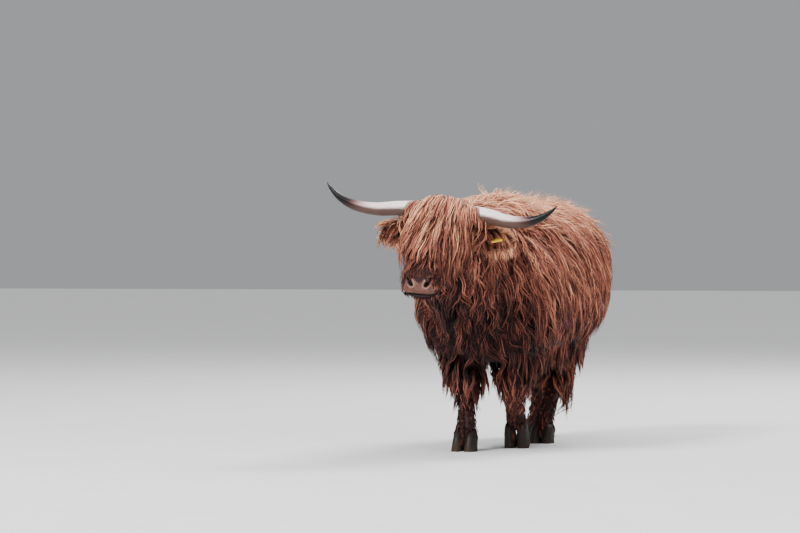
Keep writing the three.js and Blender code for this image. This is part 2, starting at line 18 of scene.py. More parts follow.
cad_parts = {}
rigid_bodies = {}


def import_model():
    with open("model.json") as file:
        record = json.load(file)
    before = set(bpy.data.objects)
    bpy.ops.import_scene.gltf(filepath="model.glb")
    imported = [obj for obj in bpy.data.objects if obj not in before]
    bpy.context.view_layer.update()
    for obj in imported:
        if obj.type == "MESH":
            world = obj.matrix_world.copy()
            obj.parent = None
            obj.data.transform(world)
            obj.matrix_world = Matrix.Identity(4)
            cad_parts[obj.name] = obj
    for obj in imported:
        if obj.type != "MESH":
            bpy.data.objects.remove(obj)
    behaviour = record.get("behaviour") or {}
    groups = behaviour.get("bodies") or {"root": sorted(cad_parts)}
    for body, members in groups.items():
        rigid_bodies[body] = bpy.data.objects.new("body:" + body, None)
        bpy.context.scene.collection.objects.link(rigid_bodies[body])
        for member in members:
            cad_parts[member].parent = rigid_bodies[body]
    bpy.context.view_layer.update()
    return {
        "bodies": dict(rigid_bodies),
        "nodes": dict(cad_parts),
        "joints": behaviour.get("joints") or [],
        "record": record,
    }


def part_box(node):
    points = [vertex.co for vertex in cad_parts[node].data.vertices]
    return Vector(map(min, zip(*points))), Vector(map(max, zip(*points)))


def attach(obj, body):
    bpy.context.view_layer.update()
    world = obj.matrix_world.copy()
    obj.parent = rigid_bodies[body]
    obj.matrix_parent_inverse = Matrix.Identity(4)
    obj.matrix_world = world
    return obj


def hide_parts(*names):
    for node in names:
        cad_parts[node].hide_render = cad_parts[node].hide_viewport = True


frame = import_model()

MM = 0.001
WITHERS = 1114  # height of the bare back over the shoulders
BACK = 1086  # height of the bare back from the ribs to the hips
POLL = (-120, -1000, 1085)  # top of the skull between the horns
FACE_PITCH = 40  # slope of the forehead below the level, degrees
HEAD_ROLL = 4.7  # the right horn is carried higher, degrees
FACE_MIDDLE = 5  # the nose is a little to the left of the middle of the skull
EYE = (88, -150, -56)  # the left eye's centre in the frame of the face
EYE_RADIUS = 19
CORONET = 70  # height where hair meets hoof
CLAW = {"half": 26, "front": 58, "rear": 44, "apart": 29.5}
HORN_SPREAD = 522  # from the poll to a horn's tip, sideways
EAR = {"length": 215, "above": 44, "below": 50, "thick": 14, "droop": 9, "sweep": 8}
CUP = {"scale": 0.78, "forward": 12}  # the hollow of the ear, as a smaller ear in front of it
TAG = {"along": 140, "up": 4, "wide": 50, "tall": 42, "shoulder": 14, "tilt": -70, "roll": 24, "thick": 2.4}
TAG |= {"stand": 8, "boss": 10, "pin": 2.6, "button": 13, "sag": 0.00175}
SIDES = {"left": 1, "right": -1}
SEED = 7


# ---- frames ----
def move(x, y, z):
    return Matrix.Translation(Vector((x, y, z)) * MM)


def turn_about(axis, degrees):
    return Matrix.Rotation(math.radians(degrees), 4, axis)


def placed(points, matrix):
    """Points in millimetres of a frame, as an array in metres of the whole."""
    points = np.atleast_2d(np.asarray(points, float)) * MM
    m = np.array(matrix)
    return points @ m[:3, :3].T + m[:3, 3]


def within(points, matrix):
    """The reverse: points of the whole, in millimetres of a frame."""
    m = np.array(matrix.inverted())
    return (np.atleast_2d(points) @ m[:3, :3].T + m[:3, 3]) / MM


def head_of(home):
    return home @ move(*POLL) @ turn_about("Y", HEAD_ROLL)


def middle_of(node):
    low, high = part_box(node)
    return (low + high) / 2


# The eyes say where the head is, and so where the whole body is in the frame.
loose_face = head_of(Matrix()) @ turn_about("X", FACE_PITCH)
between_eyes = Vector(placed([0, *EYE[1:]], loose_face)[0])
HOME = Matrix.Translation((middle_of("eye_left") + middle_of("eye_right")) / 2 - between_eyes)
HEAD = head_of(HOME)
FACE = HEAD @ turn_about("X", FACE_PITCH)
HEAD_UP = np.array(HEAD.to_3x3() @ Vector((0, 0, 1)))


def way(frame, x, y, z):
    """A direction given in a frame, as one of the whole."""
    return frame.to_3x3() @ Vector((x, y, z))


# ---- forms ----
def tube_faces(rings, sides, closed=True):
    """Faces of a tube and of its ends, which meet in the two points that follow those of the rings."""
    faces = []
    for low in range(0, (rings - 1) * sides, sides):
        for k in range(sides):
            following = (k + 1) % sides
            faces.append((low + k, low + following, low + sides + following, low + sides + k))
    last = rings * sides
    for k in range(sides if closed else 0):
        following = (k + 1) % sides
        faces += [(last, following, k), (last + 1, last - sides + k, last - sides + following)]
    return faces


class Form:
    """A shape lofted along a spine of sections, the same as its solid in the frame."""

    def __init__(self, rows, frame=HOME):
        self.rows = np.array([list(row) + [0, 2.2][len(row) - 7 :] for row in rows], float)
        self.frame = frame
        steps = np.linalg.norm(np.diff(self.rows[:, :3], axis=0), axis=1)
        self.knots = np.concatenate([[0], np.cumsum(steps)])
        low = np.maximum(np.arange(len(rows)) - 1, 0)
        high = np.minimum(np.arange(len(rows)) + 1, len(rows) - 1)
        spans = (self.knots[high] - self.knots[low])[:, None]
        self.slopes = (self.rows[high] - self.rows[low]) / spans

    def section(self, s):
        """All numbers of the sections at shares s along the spine, by a cubic through the rows."""
        along = np.clip(s, 0, 1) * self.knots[-1]
        i = np.clip(np.searchsorted(self.knots, along, side="right") - 1, 0, len(self.rows) - 2)
        span = self.knots[i + 1] - self.knots[i]
        u = ((along - self.knots[i]) / span)[:, None]
        rise = (self.rows[i + 1] - self.rows[i]) * u * u * (3 - 2 * u)
        bend = (1 - u) * self.slopes[i] - u * self.slopes[i + 1]
        return self.rows[i] + rise + u * (1 - u) * bend * span[:, None]

    def point(self, s, turn, share=0.0):
        """Surface points at shares s and turns (0 the left side, 90 above, 180 the right side), moved out
        by a share of the coat."""
        s, turn = np.broadcast_arrays(np.atleast_1d(s).astype(float), np.radians(turn))
        x, y, z, half, above, below, coat, lean, square = self.section(s).T
        grow = share * coat
        c, d = np.cos(turn), np.sin(turn)
        across = np.sign(c) * np.abs(c) ** (2 / square) * (half + grow)
        rise = np.sign(d) * np.abs(d) ** (2 / square) * (np.where(d > 0, above, below) + grow)
        lean = np.radians(lean)
        spots = np.stack([x + across, y + np.sin(lean) * rise, z + np.cos(lean) * rise], 1)
        return placed(spots, self.frame)

    def coat(self, s):
        return self.section(np.atleast_1d(s))[:, 6] * MM

    def shell(self, finer=6, sides=40, share=0.0):
        """The closed surface as vertices and faces, with rings shared out evenly between the rows."""
        count = len(self.rows)
        rings = (count - 1) * finer + 1
        places = np.interp(np.linspace(0, count - 1, rings), np.arange(count), self.knots / self.knots[-1])
        turns = np.arange(sides) * 360 / sides
        ring_points = self.point(np.repeat(places, sides), np.tile(turns, rings), share)
        centres = placed(self.section(np.array([0.0, 1.0]))[:, :3], self.frame)
        return np.concatenate([ring_points, centres]), tube_faces(rings, sides)


def leg(levels):
    """A leg from its levels: [height, x, y, half width, reach to the front, reach to the rear, coat]."""
    return Form([[x, y, z, half, front, rear, coat, -90, 2.1] for z, x, y, half, front, rear, coat in levels])


def ear_frame(side):
    droop, sweep = turn_about("Y", side * EAR["droop"]), turn_about("Z", side * (EAR["sweep"] - 90))
    return HEAD @ move(side * 96, 62, -98) @ droop @ sweep


def ear_leaf(side, scale=1.0, forward=0):
    """An upright leaf along its own +Y, with the face of the ear to the front."""
    rows = []
    for share, width in [(-0.12, 0.45), (0.08, 0.58), (0.32, 0.94), (0.6, 1), (0.84, 0.66), (0.98, 0.25)]:
        thick = EAR["thick"] * scale * (0.6 + 0.4 * width)
        above, below = EAR["above"] * width * scale, EAR["below"] * width * scale
        rows.append([side * forward, share * EAR["length"], 0, thick, above, below, 26, 0, 2])
    return Form(rows, ear_frame(side))


FLESH = {
    "trunk": Form([
        [-48, -668, 700, 70, 80, 120, 54], [-48, -650, 696, 165, 185, 210, 58],
        [-48, -608, 692, 238, 300, 266, 62], [-44, -530, 696, 272, 396, 298, 60],
        [-34, -440, 700, 274, WITHERS - 702, 306, 54], [-22, -300, 700, 270, WITHERS - 703, 286, 50],
        [-8, -100, 700, 282, BACK - 692, 272, 50], [0, 120, 704, 292, BACK - 704, 262, 50],
        [0, 300, 728, 282, BACK - 731, 255, 50], [0, 430, 760, 262, BACK - 765, 258, 50],
        [0, 560, 785, 240, 278, 250, 50], [0, 645, 796, 208, 244, 236, 50], [0, 702, 802, 168, 205, 208, 50],
        [0, 735, 806, 116, 150, 160, 50], [0, 750, 806, 56, 70, 80, 50],
    ]),
    "neck": Form([
        [-34, -420, 800, 215, 302, 300, 50, 0], [-44, -520, 815, 210, 280, 325, 54, 6],
        [-62, -640, 848, 192, 240, 318, 56, 12], [-84, -760, 892, 166, 196, 280, 54, 18],
        [-104, -870, 935, 138, 152, 220, 46, 22], [-118, -960, 968, 116, 114, 165, 30, 28],
        [-122, -1010, 985, 84, 84, 112, 12, 30],
    ]),
    "tail": Form([
        [0, 690, 1030, 34, 20, 24, 8, -30], [0, 745, 1042, 33, 24, 26, 8, -45],
        [0, 792, 1020, 30, 26, 26, 8, -70], [0, 815, 950, 27, 24, 24, 8, -88],
        [0, 822, 840, 23, 20, 20, 8, -90], [0, 824, 706, 20, 18, 18, 8, -90],
    ]),
    "tail_switch": Form([
        [0, 824, 712, 20, 18, 18, 8, -90], [0, 824, 640, 24, 22, 22, 14, -90],
        [0, 824, 540, 30, 26, 26, 20, -90], [0, 822, 430, 30, 26, 26, 22, -90],
        [0, 820, 330, 20, 18, 18, 18, -90], [0, 818, 262, 4, 4, 4, 8, -90],
    ]),
}
FEET = {
    "fore_right": leg([
        [760, -140, -430, 80, 125, 125, 50], [640, -142, -452, 80, 112, 108, 56],
        [540, -150, -480, 78, 92, 92, 62], [440, -150, -512, 66, 70, 72, 66],
        [360, -144, -535, 52, 54, 54, 54], [312, -138, -547, 49, 49, 45, 28],
        [262, -136, -555, 39, 39, 39, 16], [185, -132, -567, 33, 33, 36, 9], [132, -128, -575, 38, 39, 44, 9],
        [98, -126, -590, 37, 36, 39, 9], [56, -124, -606, 44, 46, 48, 8],
    ]),
    "fore_left": leg([
        [760, 100, -410, 80, 125, 125, 50], [640, 100, -425, 80, 112, 108, 56],
        [540, 98, -442, 74, 92, 92, 60], [440, 92, -460, 60, 68, 70, 56], [368, 80, -472, 50, 52, 50, 44],
        [322, 66, -466, 49, 56, 48, 38], [274, 54, -432, 40, 50, 50, 34], [215, 46, -385, 34, 44, 46, 18],
        [165, 42, -349, 38, 46, 50, 9], [125, 40, -334, 38, 42, 46, 9], [82, 40, -334, 38, 40, 46, 8],
    ]),
    "hind_right": leg([
        [860, -118, 520, 108, 190, 176, 50], [760, -118, 515, 112, 192, 176, 56],
        [660, -116, 505, 102, 168, 154, 64], [590, -114, 512, 88, 132, 124, 68],
        [530, -112, 545, 72, 98, 94, 68], [470, -110, 590, 56, 72, 72, 64], [420, -109, 630, 47, 58, 58, 50],
        [370, -108, 648, 41, 47, 50, 32], [280, -106, 660, 34, 37, 41, 14], [190, -104, 668, 33, 35, 38, 9],
        [135, -102, 668, 39, 41, 46, 9], [98, -102, 650, 38, 38, 40, 9], [56, -102, 634, 44, 46, 48, 8],
    ]),
    "hind_left": leg([
        [860, 110, 505, 108, 186, 186, 50], [760, 110, 478, 112, 192, 196, 56],
        [660, 106, 425, 102, 172, 176, 64], [590, 102, 388, 88, 132, 136, 70],
        [530, 96, 372, 73, 98, 100, 74], [465, 88, 370, 57, 74, 76, 74], [405, 82, 372, 47, 60, 60, 62],
        [350, 78, 345, 42, 50, 52, 50], [280, 68, 292, 36, 41, 45, 28], [205, 60, 230, 34, 41, 45, 9],
        [142, 54, 180, 39, 46, 49, 9], [100, 52, 150, 38, 41, 43, 9], [56, 52, 128, 44, 46, 50, 8],
    ]),
}
SKULL = Form([
    [0, 55, -110, 50, 55, 60, 12], [0, 32, -105, 86, 92, 92, 12], [0, -10, -105, 100, 106, 108, 12],
    [0, -70, -100, 107, 108, 120, 10], [0, -130, -98, 110, 106, 124, 8], [0, -190, -95, 100, 98, 114, 8],
    [1, -250, -90, 86, 86, 96, 8], [2, -310, -80, 75, 74, 76, 8], [3, -360, -70, 73, 64, 62, 6, 4],
    [4, -400, -64, 77, 57, 54, 3, 10, 2.4], [5, -432, -62, 80, 53, 48, 0, 16, 2.6],
    [5, -456, -64, 77, 49, 43, 0, 22, 2.6], [5, -472, -68, 60, 38, 32, 0, 26, 2.4],
], FACE)
# What the forelock grows from.
SCALP = Form([
    [0, 56, -66, 44, 44, 30, 40], [0, 26, -66, 90, 86, 50, 46], [0, -40, -72, 108, 100, 70, 50],
    [0, -120, -74, 116, 94, 82, 54], [0, -200, -72, 114, 82, 76, 58], [0, -280, -68, 96, 70, 60, 58],
    [0, -345, -62, 74, 58, 30, 50], [0, -370, -58, 44, 40, 10, 42],
], FACE)
EARS = {f"ear_{name}": ear_leaf(side) for name, side in SIDES.items()}
FORMS = FLESH | FEET | EARS | {"skull": SKULL, "scalp": SCALP}


# ---- meshes ----
def shown(name, data):
    """A new object of the scene for a mesh, a lamp or a camera."""
    thing = bpy.data.objects.new(name, data)
    bpy.context.scene.collection.objects.link(thing)
    return thing


def mesh_object(name, points, faces):
    mesh = bpy.data.meshes.new(name)
    mesh.from_pydata([tuple(p) for p in points], [], faces)
    mesh.validate()
    mesh.polygons.foreach_set("use_smooth", [True] * len(mesh.polygons))
    return shown(name, mesh)


@contextmanager
def editing(piece):
    """The piece's mesh, open for changes."""
    shape = bmesh.new()
    shape.from_mesh(piece.data)
    yield shape
    shape.to_mesh(piece.data)
    shape.free()


def outward(piece):
    """Turns the faces of a closed piece outwards."""
    with editing(piece) as shape:
        bmesh.ops.recalc_face_normals(shape, faces=shape.faces)
    return piece


def settle(piece):
    """Turns a piece with its modifiers into a plain mesh."""
    graph = bpy.context.evaluated_depsgraph_get()
    mesh = bpy.data.meshes.new_from_object(piece.evaluated_get(graph))
    piece.modifiers.clear()
    old, piece.data = piece.data, mesh
    bpy.data.meshes.remove(old)
    mesh.name = piece.name
    return piece


def points_of(mesh, field="co"):
    flat = np.empty(len(mesh.vertices) * 3)
    mesh.vertices.foreach_get(field, flat)
    return flat.reshape(-1, 3)


def write_points(mesh, points):
    mesh.vertices.foreach_set("co", np.ascontiguousarray(points).ravel())
    mesh.update()


def paint(mesh, name, values):
    mesh.attributes.new(name, "FLOAT", "POINT").data.foreach_set("value", np.ascontiguousarray(values, float))


def shell_of(piece):
    return points_of(piece.data), [tuple(face.vertices) for face in piece.data.polygons]


def joined(shells):
    """Several (points, faces) as one."""
    points, faces, start = [], [], 0
    for spots, sheets in shells:
        points.append(spots)
        faces += [tuple(start + i for i in face) for face in sheets]
        start += len(spots)
    return np.concatenate(points), faces


def tree_of(*pieces):
    points, faces = joined([shell_of(piece) for piece in pieces])
    return BVHTree.FromPolygons(points.tolist(), faces)


def weld(piece, voxel, rounds):
    """Makes one skin of the shells that a piece is made of, and smooths it."""
    remesh = piece.modifiers.new("weld", "REMESH")
    remesh.mode, remesh.voxel_size, remesh.use_smooth_shade = "VOXEL", voxel, True
    smooth = piece.modifiers.new("smooth", "SMOOTH")
    smooth.factor, smooth.iterations = 0.5, rounds
    return settle(piece)


def unit(vectors):
    return vectors / np.maximum(np.linalg.norm(vectors, axis=-1, keepdims=True), 1e-9)


def soft(value):
    """0 to 1 with eased ends."""
    value = np.clip(value, 0, 1)
    return value * value * (3 - 2 * value)


def hump(value, width):
    """1 at 0, and falling off to both sides."""
    return np.exp(-((value / width) ** 2))


def from_line(points, path):
    """Distance from points to a polyline, and how far along it, from 0 to 1."""
    path = np.asarray(path, float)
    best = np.full(len(points), np.inf)
    along = np.zeros(len(points))
    for i, (a, b) in enumerate(zip(path[:-1], path[1:])):
        span = b - a
        t = np.clip((points - a) @ span / (span @ span), 0, 1)
        far = np.linalg.norm(points - a - t[:, None] * span, axis=1)
        nearer = far < best
        best = np.where(nearer, far, best)
        along = np.where(nearer, (i + t) / (len(path) - 1), along)
    return best, along


# ---- skin ----
SKIN_VOXEL = 0.006
SKIN_ROUNDS = 4  # of smoothing
BODY_KEPT = 0.285  # share of the faces kept once the body is thinned
HEAD_BEHIND = -880  # the mesh is thinned behind this place
FACE_BEHIND = -300  # and made finer again in front of this one
SOCKET = 46  # reach of the finer mesh round an eye
MOUTH_CORNER = -372  # where the mouth starts
# How far the parts of the muzzle and of the lids are pressed in or raised.
CARVED = {"nostril": 17, "wing": 3.2, "mouth": 7.5, "upper_lip": 3.0, "lower_lip": 3.4}
CARVED |= {"cleft": 2.2, "pad": 3.5}
LID = {"over": 4.5, "rim": 1.5, "socket": 4, "crease": 2.2, "long": 18, "high": 10.5}


def lip_height(y):
    """Height of the line between the lips, in the frame of the face, from the corners to the front."""
    t = np.clip((-384 - y) / 121, 0, 1)
    return -80 * (1 - t) ** 2 - 94 * 2 * t * (1 - t) - 84 * t**2


def nostril_path(side):
    path = [(32, -464, -48), (39, -459, -40), (46, -451, -32), (52, -440, -25)]
    return [(FACE_MIDDLE + side * x, y, z) for x, y, z in path]


def nostril_radius(along):
    """Wide in its lower half, and drawn out to a slit above."""
    return np.interp(along, [0, 0.35, 1], [8.5, 10.5, 5])


def shape_muzzle(q, normals):
    """Presses nostrils and mouth into the face. q is in the frame of the face, in millimetres."""
    push = np.zeros(len(q))
    near = q[:, 1] < -330
    for side in SIDES.values():
        far, along = from_line(q, nostril_path(side))
        radius = nostril_radius(along)
        push -= near * CARVED["nostril"] * soft(1.15 - far / radius) * (1 - 0.55 * along)
        push += near * (CARVED["wing"] - 1.8 * along) * hump(far - radius - 5, 4.5)
    over = q[:, 2] - lip_height(q[:, 1])
    mouth = near * soft((MOUTH_CORNER - q[:, 1]) / 26)
    push -= mouth * CARVED["mouth"] * hump(over, 3.4)
    push += mouth * CARVED["upper_lip"] * hump(over - 10, 7)
    push += mouth * CARVED["lower_lip"] * hump(over + 10, 6)
    # the cleft of the upper lip and the dip over the nose pad
    cleft = hump(q[:, 0] - FACE_MIDDLE, 3.2)
    push -= mouth * CARVED["cleft"] * cleft * soft(over / 8) * soft((-462 - q[:, 1]) / 8)
    # the soft swell of the pads beside the mouth
    push += near * CARVED["pad"] * hump(q[:, 1] + 425, 26) * hump(over - 22, 16)
    q += normals * push[:, None]
    return q


def shape_eyes(q):
    """Sinks a socket for each eye and raises the lids round it."""
    for side in SIDES.values():
        offset = q - (side * EYE[0], *EYE[1:])
        distance = np.linalg.norm(offset, axis=1)
        facing = side * offset[:, 0] > 0.25 * distance
        a, b = offset[:, 1] / LID["long"], offset[:, 2] / LID["high"]
        leaf = np.sqrt(a * a + (np.abs(b) / np.maximum(0.2, 1 - 0.45 * a * a)) ** 2)
        lid = EYE_RADIUS + LID["over"] + LID["rim"] * hump(leaf - 1.15, 0.16)
        sunk = EYE_RADIUS - LID["socket"]
        wanted = np.where(leaf < 1, sunk + (lid - sunk) * soft((leaf - 0.82) / 0.18), lid)
        weight = facing * soft((EYE_RADIUS + 19 - distance) / 12)
        creased = -LID["crease"] * hump(leaf - 1.75, 0.13) * (b > 0)
        aim = offset / np.maximum(distance, 1e-6)[:, None] * (wanted + creased)[:, None]
        q = q + (aim - offset) * (weight * soft((2.6 - leaf) / 1.1))[:, None]
    return q


def ear_shell(name, side):
    """An ear with its cup hollowed out."""
    ear = outward(mesh_object("ear", *EARS[f"ear_{name}"].shell()))
    cup = outward(mesh_object("cup", *ear_leaf(side, CUP["scale"], CUP["forward"]).shell()))
    cut = ear.modifiers.new("cup", "BOOLEAN")
    cut.operation, cut.solver, cut.object = "DIFFERENCE", "EXACT", cup
    shell = shell_of(settle(ear))
    bpy.data.objects.remove(cup)
    bpy.data.objects.remove(ear)
    return shell


def muzzle_marks(q):
    """Masks of the bare pad, the nostril rims, which are pale and brightened as a painted highlight, and the
    painted shade in the nostrils and along the mouth.
    """
    over = q[:, 2] - lip_height(q[:, 1])
    aside = np.abs(q[:, 0] - FACE_MIDDLE)
    crown = np.interp(aside, [0, 12, 30, 46, 56, 66], [-455, -450, -437, -433, -447, -464])
    pad = soft((crown - q[:, 1] - 0.2 * np.abs(over - 24)) / 9 + 0.5) * soft((over + 4) / 6)
    band = soft((66 - aside) / 10) * soft((30 - over) / 10) * soft((over + 4) / 6) * (q[:, 1] < -440)
    near = q[:, 1] < -360
    rim, pit = np.zeros(len(q)), np.zeros(len(q))
    for side in SIDES.values():
        path = nostril_path(side)
        far, along = from_line(q, path)
        radius = nostril_radius(along)
        inner = soft((side * (path[1][0] - q[:, 0]) + 22) / 18)
        rim = np.maximum(rim, 0.85 * near * hump(far - radius - 4, 3.6) * (1 - 0.7 * along) * inner)
        pit = np.maximum(pit, near * soft(1.7 - 1.1 * far / radius))
    mouth = near * soft((MOUTH_CORNER - q[:, 1]) / 26) * hump(over + 1, 6)
    return {"pad": np.maximum(pad, band), "rim": rim * (1 - pit), "pit": np.maximum(pit, mouth)}


def refine_face(skin):
    """Makes the mesh finer round the nostrils, mouth and eyes."""
    for reach in (1.0, 0.7):
        with editing(skin) as shape:
            q = within(np.array([v.co for v in shape.verts]), FACE)
            fine = q[:, 1] < FACE_BEHIND - 90 * (1 - reach)
            for side in SIDES.values():
                fine |= np.linalg.norm(q - (side * EYE[0], *EYE[1:]), axis=1) < SOCKET * reach
            edges = [e for e in shape.edges if fine[e.verts[0].index] and fine[e.verts[1].index]]
            bmesh.ops.subdivide_edges(shape, edges=edges, cuts=1, use_grid_fill=True, smooth=0)
            bmesh.ops.triangulate(shape, faces=[f for f in shape.faces if len(f.verts) > 3])
    skin.data.polygons.foreach_set("use_smooth", [True] * len(skin.data.polygons))


def make_skin():
    flesh = [FORMS[name] for name in ("trunk", "neck", "skull", "tail", "tail_switch", *FEET)]
    shells = [form.shell() for form in flesh] + [ear_shell(name, side) for name, side in SIDES.items()]
    skin = weld(outward(mesh_object("skin", *joined(shells))), SKIN_VOXEL, SKIN_ROUNDS)
    y = within(points_of(skin.data), HOME)[:, 1]
    body = skin.vertex_groups.new(name="body")
    body.add(np.flatnonzero(y > HEAD_BEHIND).tolist(), 1.0, "REPLACE")
    thin = skin.modifiers.new("thin", "DECIMATE")
    thin.ratio, thin.vertex_group, thin.use_collapse_triangulate = BODY_KEPT, "body", True
    settle(skin)
    skin.vertex_groups.clear()
    refine_face(skin)
    q = within(points_of(skin.data), FACE)
    turn = np.array(FACE.inverted())[:3, :3]
    marks = muzzle_marks(q)
    q = shape_eyes(shape_muzzle(q, points_of(skin.data, "normal") @ turn.T))
    write_points(skin.data, placed(q, FACE))
    for name, mask in marks.items():
        paint(skin.data, name, mask)
    return skin


skin = make_skin()


# ---- horns ----
# Centre line as [share of the spread, y, z] from the poll, and the radius there.
HORN_LINE = [
    [0.12, 25, -18, 37], [0.25, 22, -16, 35], [0.4, 6, -20, 32], [0.57, -22, -32, 29],
    [0.74, -48, -26, 24], [0.87, -60, 0, 16], [0.96, -60, 36, 8], [1, -56, 60, 2],
]
HORN_LIFT = {"left": -12, "right": 11}
# The forelock's outer surface: a share of the scalp's coat, and a sleeve over the first steps of each horn.
DOME = {"share": 0.74, "steps": 15, "over_horn": 10, "forward": -8, "up": -6, "voxel": 0.009, "rounds": 14}


def horn_path(name, side, steps):
    """Even steps along the smooth centre line of a horn, in the frame of the head, and the radius at each."""
    rows = [[side * a * HORN_SPREAD, y, z + HORN_LIFT[name] * a * a, radius] for a, y, z, radius in HORN_LINE]
    rows = np.asarray(rows, float)
    padded = np.concatenate([[2 * rows[0] - rows[1]], rows, [2 * rows[-1] - rows[-2]]])
    place = np.linspace(0, len(rows) - 1, steps + 1)
    i = np.minimum(place.astype(int), len(rows) - 2)
    u = (place - i)[:, None]
    a, b, c, d = (padded[i + k] for k in range(4))
    path = 0.5 * (2 * b + (c - a) * u + (2 * a - 5 * b + 4 * c - d) * u**2 + (3 * b - a - 3 * c + d) * u**3)
    return path[:, :3], path[:, 3]


def squared(up, ahead):
    """Ways up, made square to the ways ahead."""
    return unit(up - ahead * (up * ahead).sum(-1, keepdims=True))


def bar(name, line, radii, sides, shape=None):
    """A closed round bar along a line. shape alters the radius by (share along, turn)."""
    ahead = unit(np.gradient(line, axis=0))
    up = squared(np.broadcast_to(HEAD_UP, line.shape), ahead)
    fore = np.cross(ahead, up)
    turns = np.arange(sides) * 2 * math.pi / sides
    share = np.append(0, np.cumsum(np.linalg.norm(np.diff(line, axis=0), axis=1)))
    share /= share[-1]
    radius = np.repeat(radii[:, None], sides, 1)
    if shape:
        radius = radius * shape(share[:, None], turns[None, :])
    c, d = np.cos(turns)[None, :, None], np.sin(turns)[None, :, None]
    ring = line[:, None] + radius[..., None] * (up[:, None] * c + fore[:, None] * d)
    points = np.concatenate([ring.reshape(-1, 3), line[:1], line[-1:] + ahead[-1:] * radii[-1] * 0.8])
    piece = outward(mesh_object(name, points, tube_faces(len(line), sides)))
    paint(piece.data, "along", np.append(np.repeat(share, sides), [0, 1]))
    paint(piece.data, "above", np.append(np.tile(np.cos(turns), len(line)), [0, 0]))
    return piece


def horn_ridges(share, turn):
    """Growth ridges that fade out from the root, and the shallow flutes along a horn."""
    rings = 0.02 * np.sin(share * 190 + 0.7 * np.sin(turn * 2 + 1)) * soft(1 - share * 2.6)
    return 1 + rings + 0.008 * np.sin(turn * 5 + share * 9) + 0.006 * np.sin(turn * 11 - share * 14)


def make_horn(name, side):
    line, radii = horn_path(name, side, 160)
    return bar(f"horn_{name}_polished", placed(line, HEAD), radii * MM, 56, horn_ridges)


def make_dome():
    """The outer surface of the forelock, over the brow and the bases of the horns, for its hair to follow."""
    shells = [SCALP.shell(share=DOME["share"])]
    for name, side in SIDES.items():
        line, radii = (part[: DOME["steps"]] for part in horn_path(name, side, 60))
        radii = radii + DOME["over_horn"] * soft(1.3 - np.linspace(0, 1, len(line))) + 2
        sleeve = bar("sleeve", placed(line + [0, DOME["forward"], DOME["up"]], HEAD), radii * MM, 24)
        shells.append(shell_of(sleeve))
        bpy.data.objects.remove(sleeve)
    dome = weld(outward(mesh_object("dome", *joined(shells))), DOME["voxel"], DOME["rounds"])
    tree = tree_of(dome)
    bpy.data.objects.remove(dome)
    return tree


horns = {name: make_horn(name, side) for name, side in SIDES.items()}
skin_tree, body_tree = tree_of(skin), tree_of(skin, *horns.values())
dome_tree = make_dome()


# ---- growing the coat ----
ROOT = -0.1  # share of the coat's depth where a lock is rooted, under the skin
HANG = -0.72  # an underside that faces down more than this lets its hair hang free
HUG = 0.35  # how strongly a lock draws in to the body
WALK_STEP = 0.018
VARIED = {"length": 0.2, "reach": 0.16, "raised": 0.1}  # from lock to lock
COURSE = (0.45, 0.55)  # shares of the last way and of the wanted one in each step of a lock
HANGING = (0.62, 0.6)  # the same for one that hangs free, towards the floor
DOWN = Vector((0, 0, -1))
FLOOR_GAP = 0.012  # no hair comes lower
PATCH = 0.003  # side of the patch that a strand takes on the map of the skin
PIECE_FACES = 190000  # most triangles in one piece of the coat
TRIES = 40  # places tried for each lock to the square metre
STRAY = {"share": 0.08, "pinch": -0.7, "width": 0.45}  # the few strands that leave their lock
SPREAD_STEPS = (0.7548776662466927, 0.5698402909980532)  # steps of an even two-way spread
# Where each form lies on that map: [left, bottom, width, height].
CHART = {
    "trunk": (0.0, 0.0, 0.6, 0.56), "neck": (0.61, 0.0, 0.38, 0.3), "skull": (0.61, 0.31, 0.38, 0.25),
    "scalp": (0.0, 0.57, 0.3, 0.24), "fore_right": (0.31, 0.57, 0.16, 0.24),
    "fore_left": (0.48, 0.57, 0.16, 0.24), "hind_right": (0.65, 0.57, 0.16, 0.24),
    "hind_left": (0.82, 0.57, 0.16, 0.24), "ear_left": (0.0, 0.82, 0.2, 0.16),
    "ear_right": (0.21, 0.82, 0.2, 0.16), "tail": (0.42, 0.82, 0.2, 0.16),
    "tail_switch": (0.63, 0.82, 0.2, 0.16),
}
draw = np.random.default_rng(SEED)


@dataclass
class Locks:
    """Locks of hair on part of a form, in metres. A rule is a function of the places of the roots."""

    form: str
    shares: tuple  # from and to, along the form
    turns: tuple  # and round it
    density: float  # to the square metre
    length: float
    lie: object  # rule for the way the hair runs from its root
    fall: object = None  # rule for the way its ends run
    strands: int = 10  # to a lock
    segments: int = 9
    width: float = 0.008  # of a strand
    spread: float = 0.026  # of a lock's roots, to each side
    pinch: float = 0.72  # how far a lock draws together at its tip
    wave: float = 0.009
    wavelength: float = 0.13
    curl: float = 1.1
    stray: float = 0.32  # from the lie
    depth: object = None  # that the tips stand off, or None for the form's own
    reach: float = 1.0  # share of the depth where the tips are
    base: float = ROOT  # share of the depth where the roots are
    rise: float = 0.5  # lower rises sooner
    hang: float = HANG
    near: float = 0.012  # a root further from the skin is left out
    domed: bool = False  # follows the outer surface of the forelock, and not the body
    part: object = 1.0  # share of the length, or a rule for it
    layer: object = 0.0  # what the reach is lowered by, or a rule for it
    where: object = None  # rule for the roots that are kept
    warmth: object = None  # a rule for it, or None for that of the place
    contrast: float = 1.0  # between light and dark strands
    fade: float = 0.0  # how much darker the tips are
    start: float = 0.0  # above 0, the painted shade at the roots is weaker
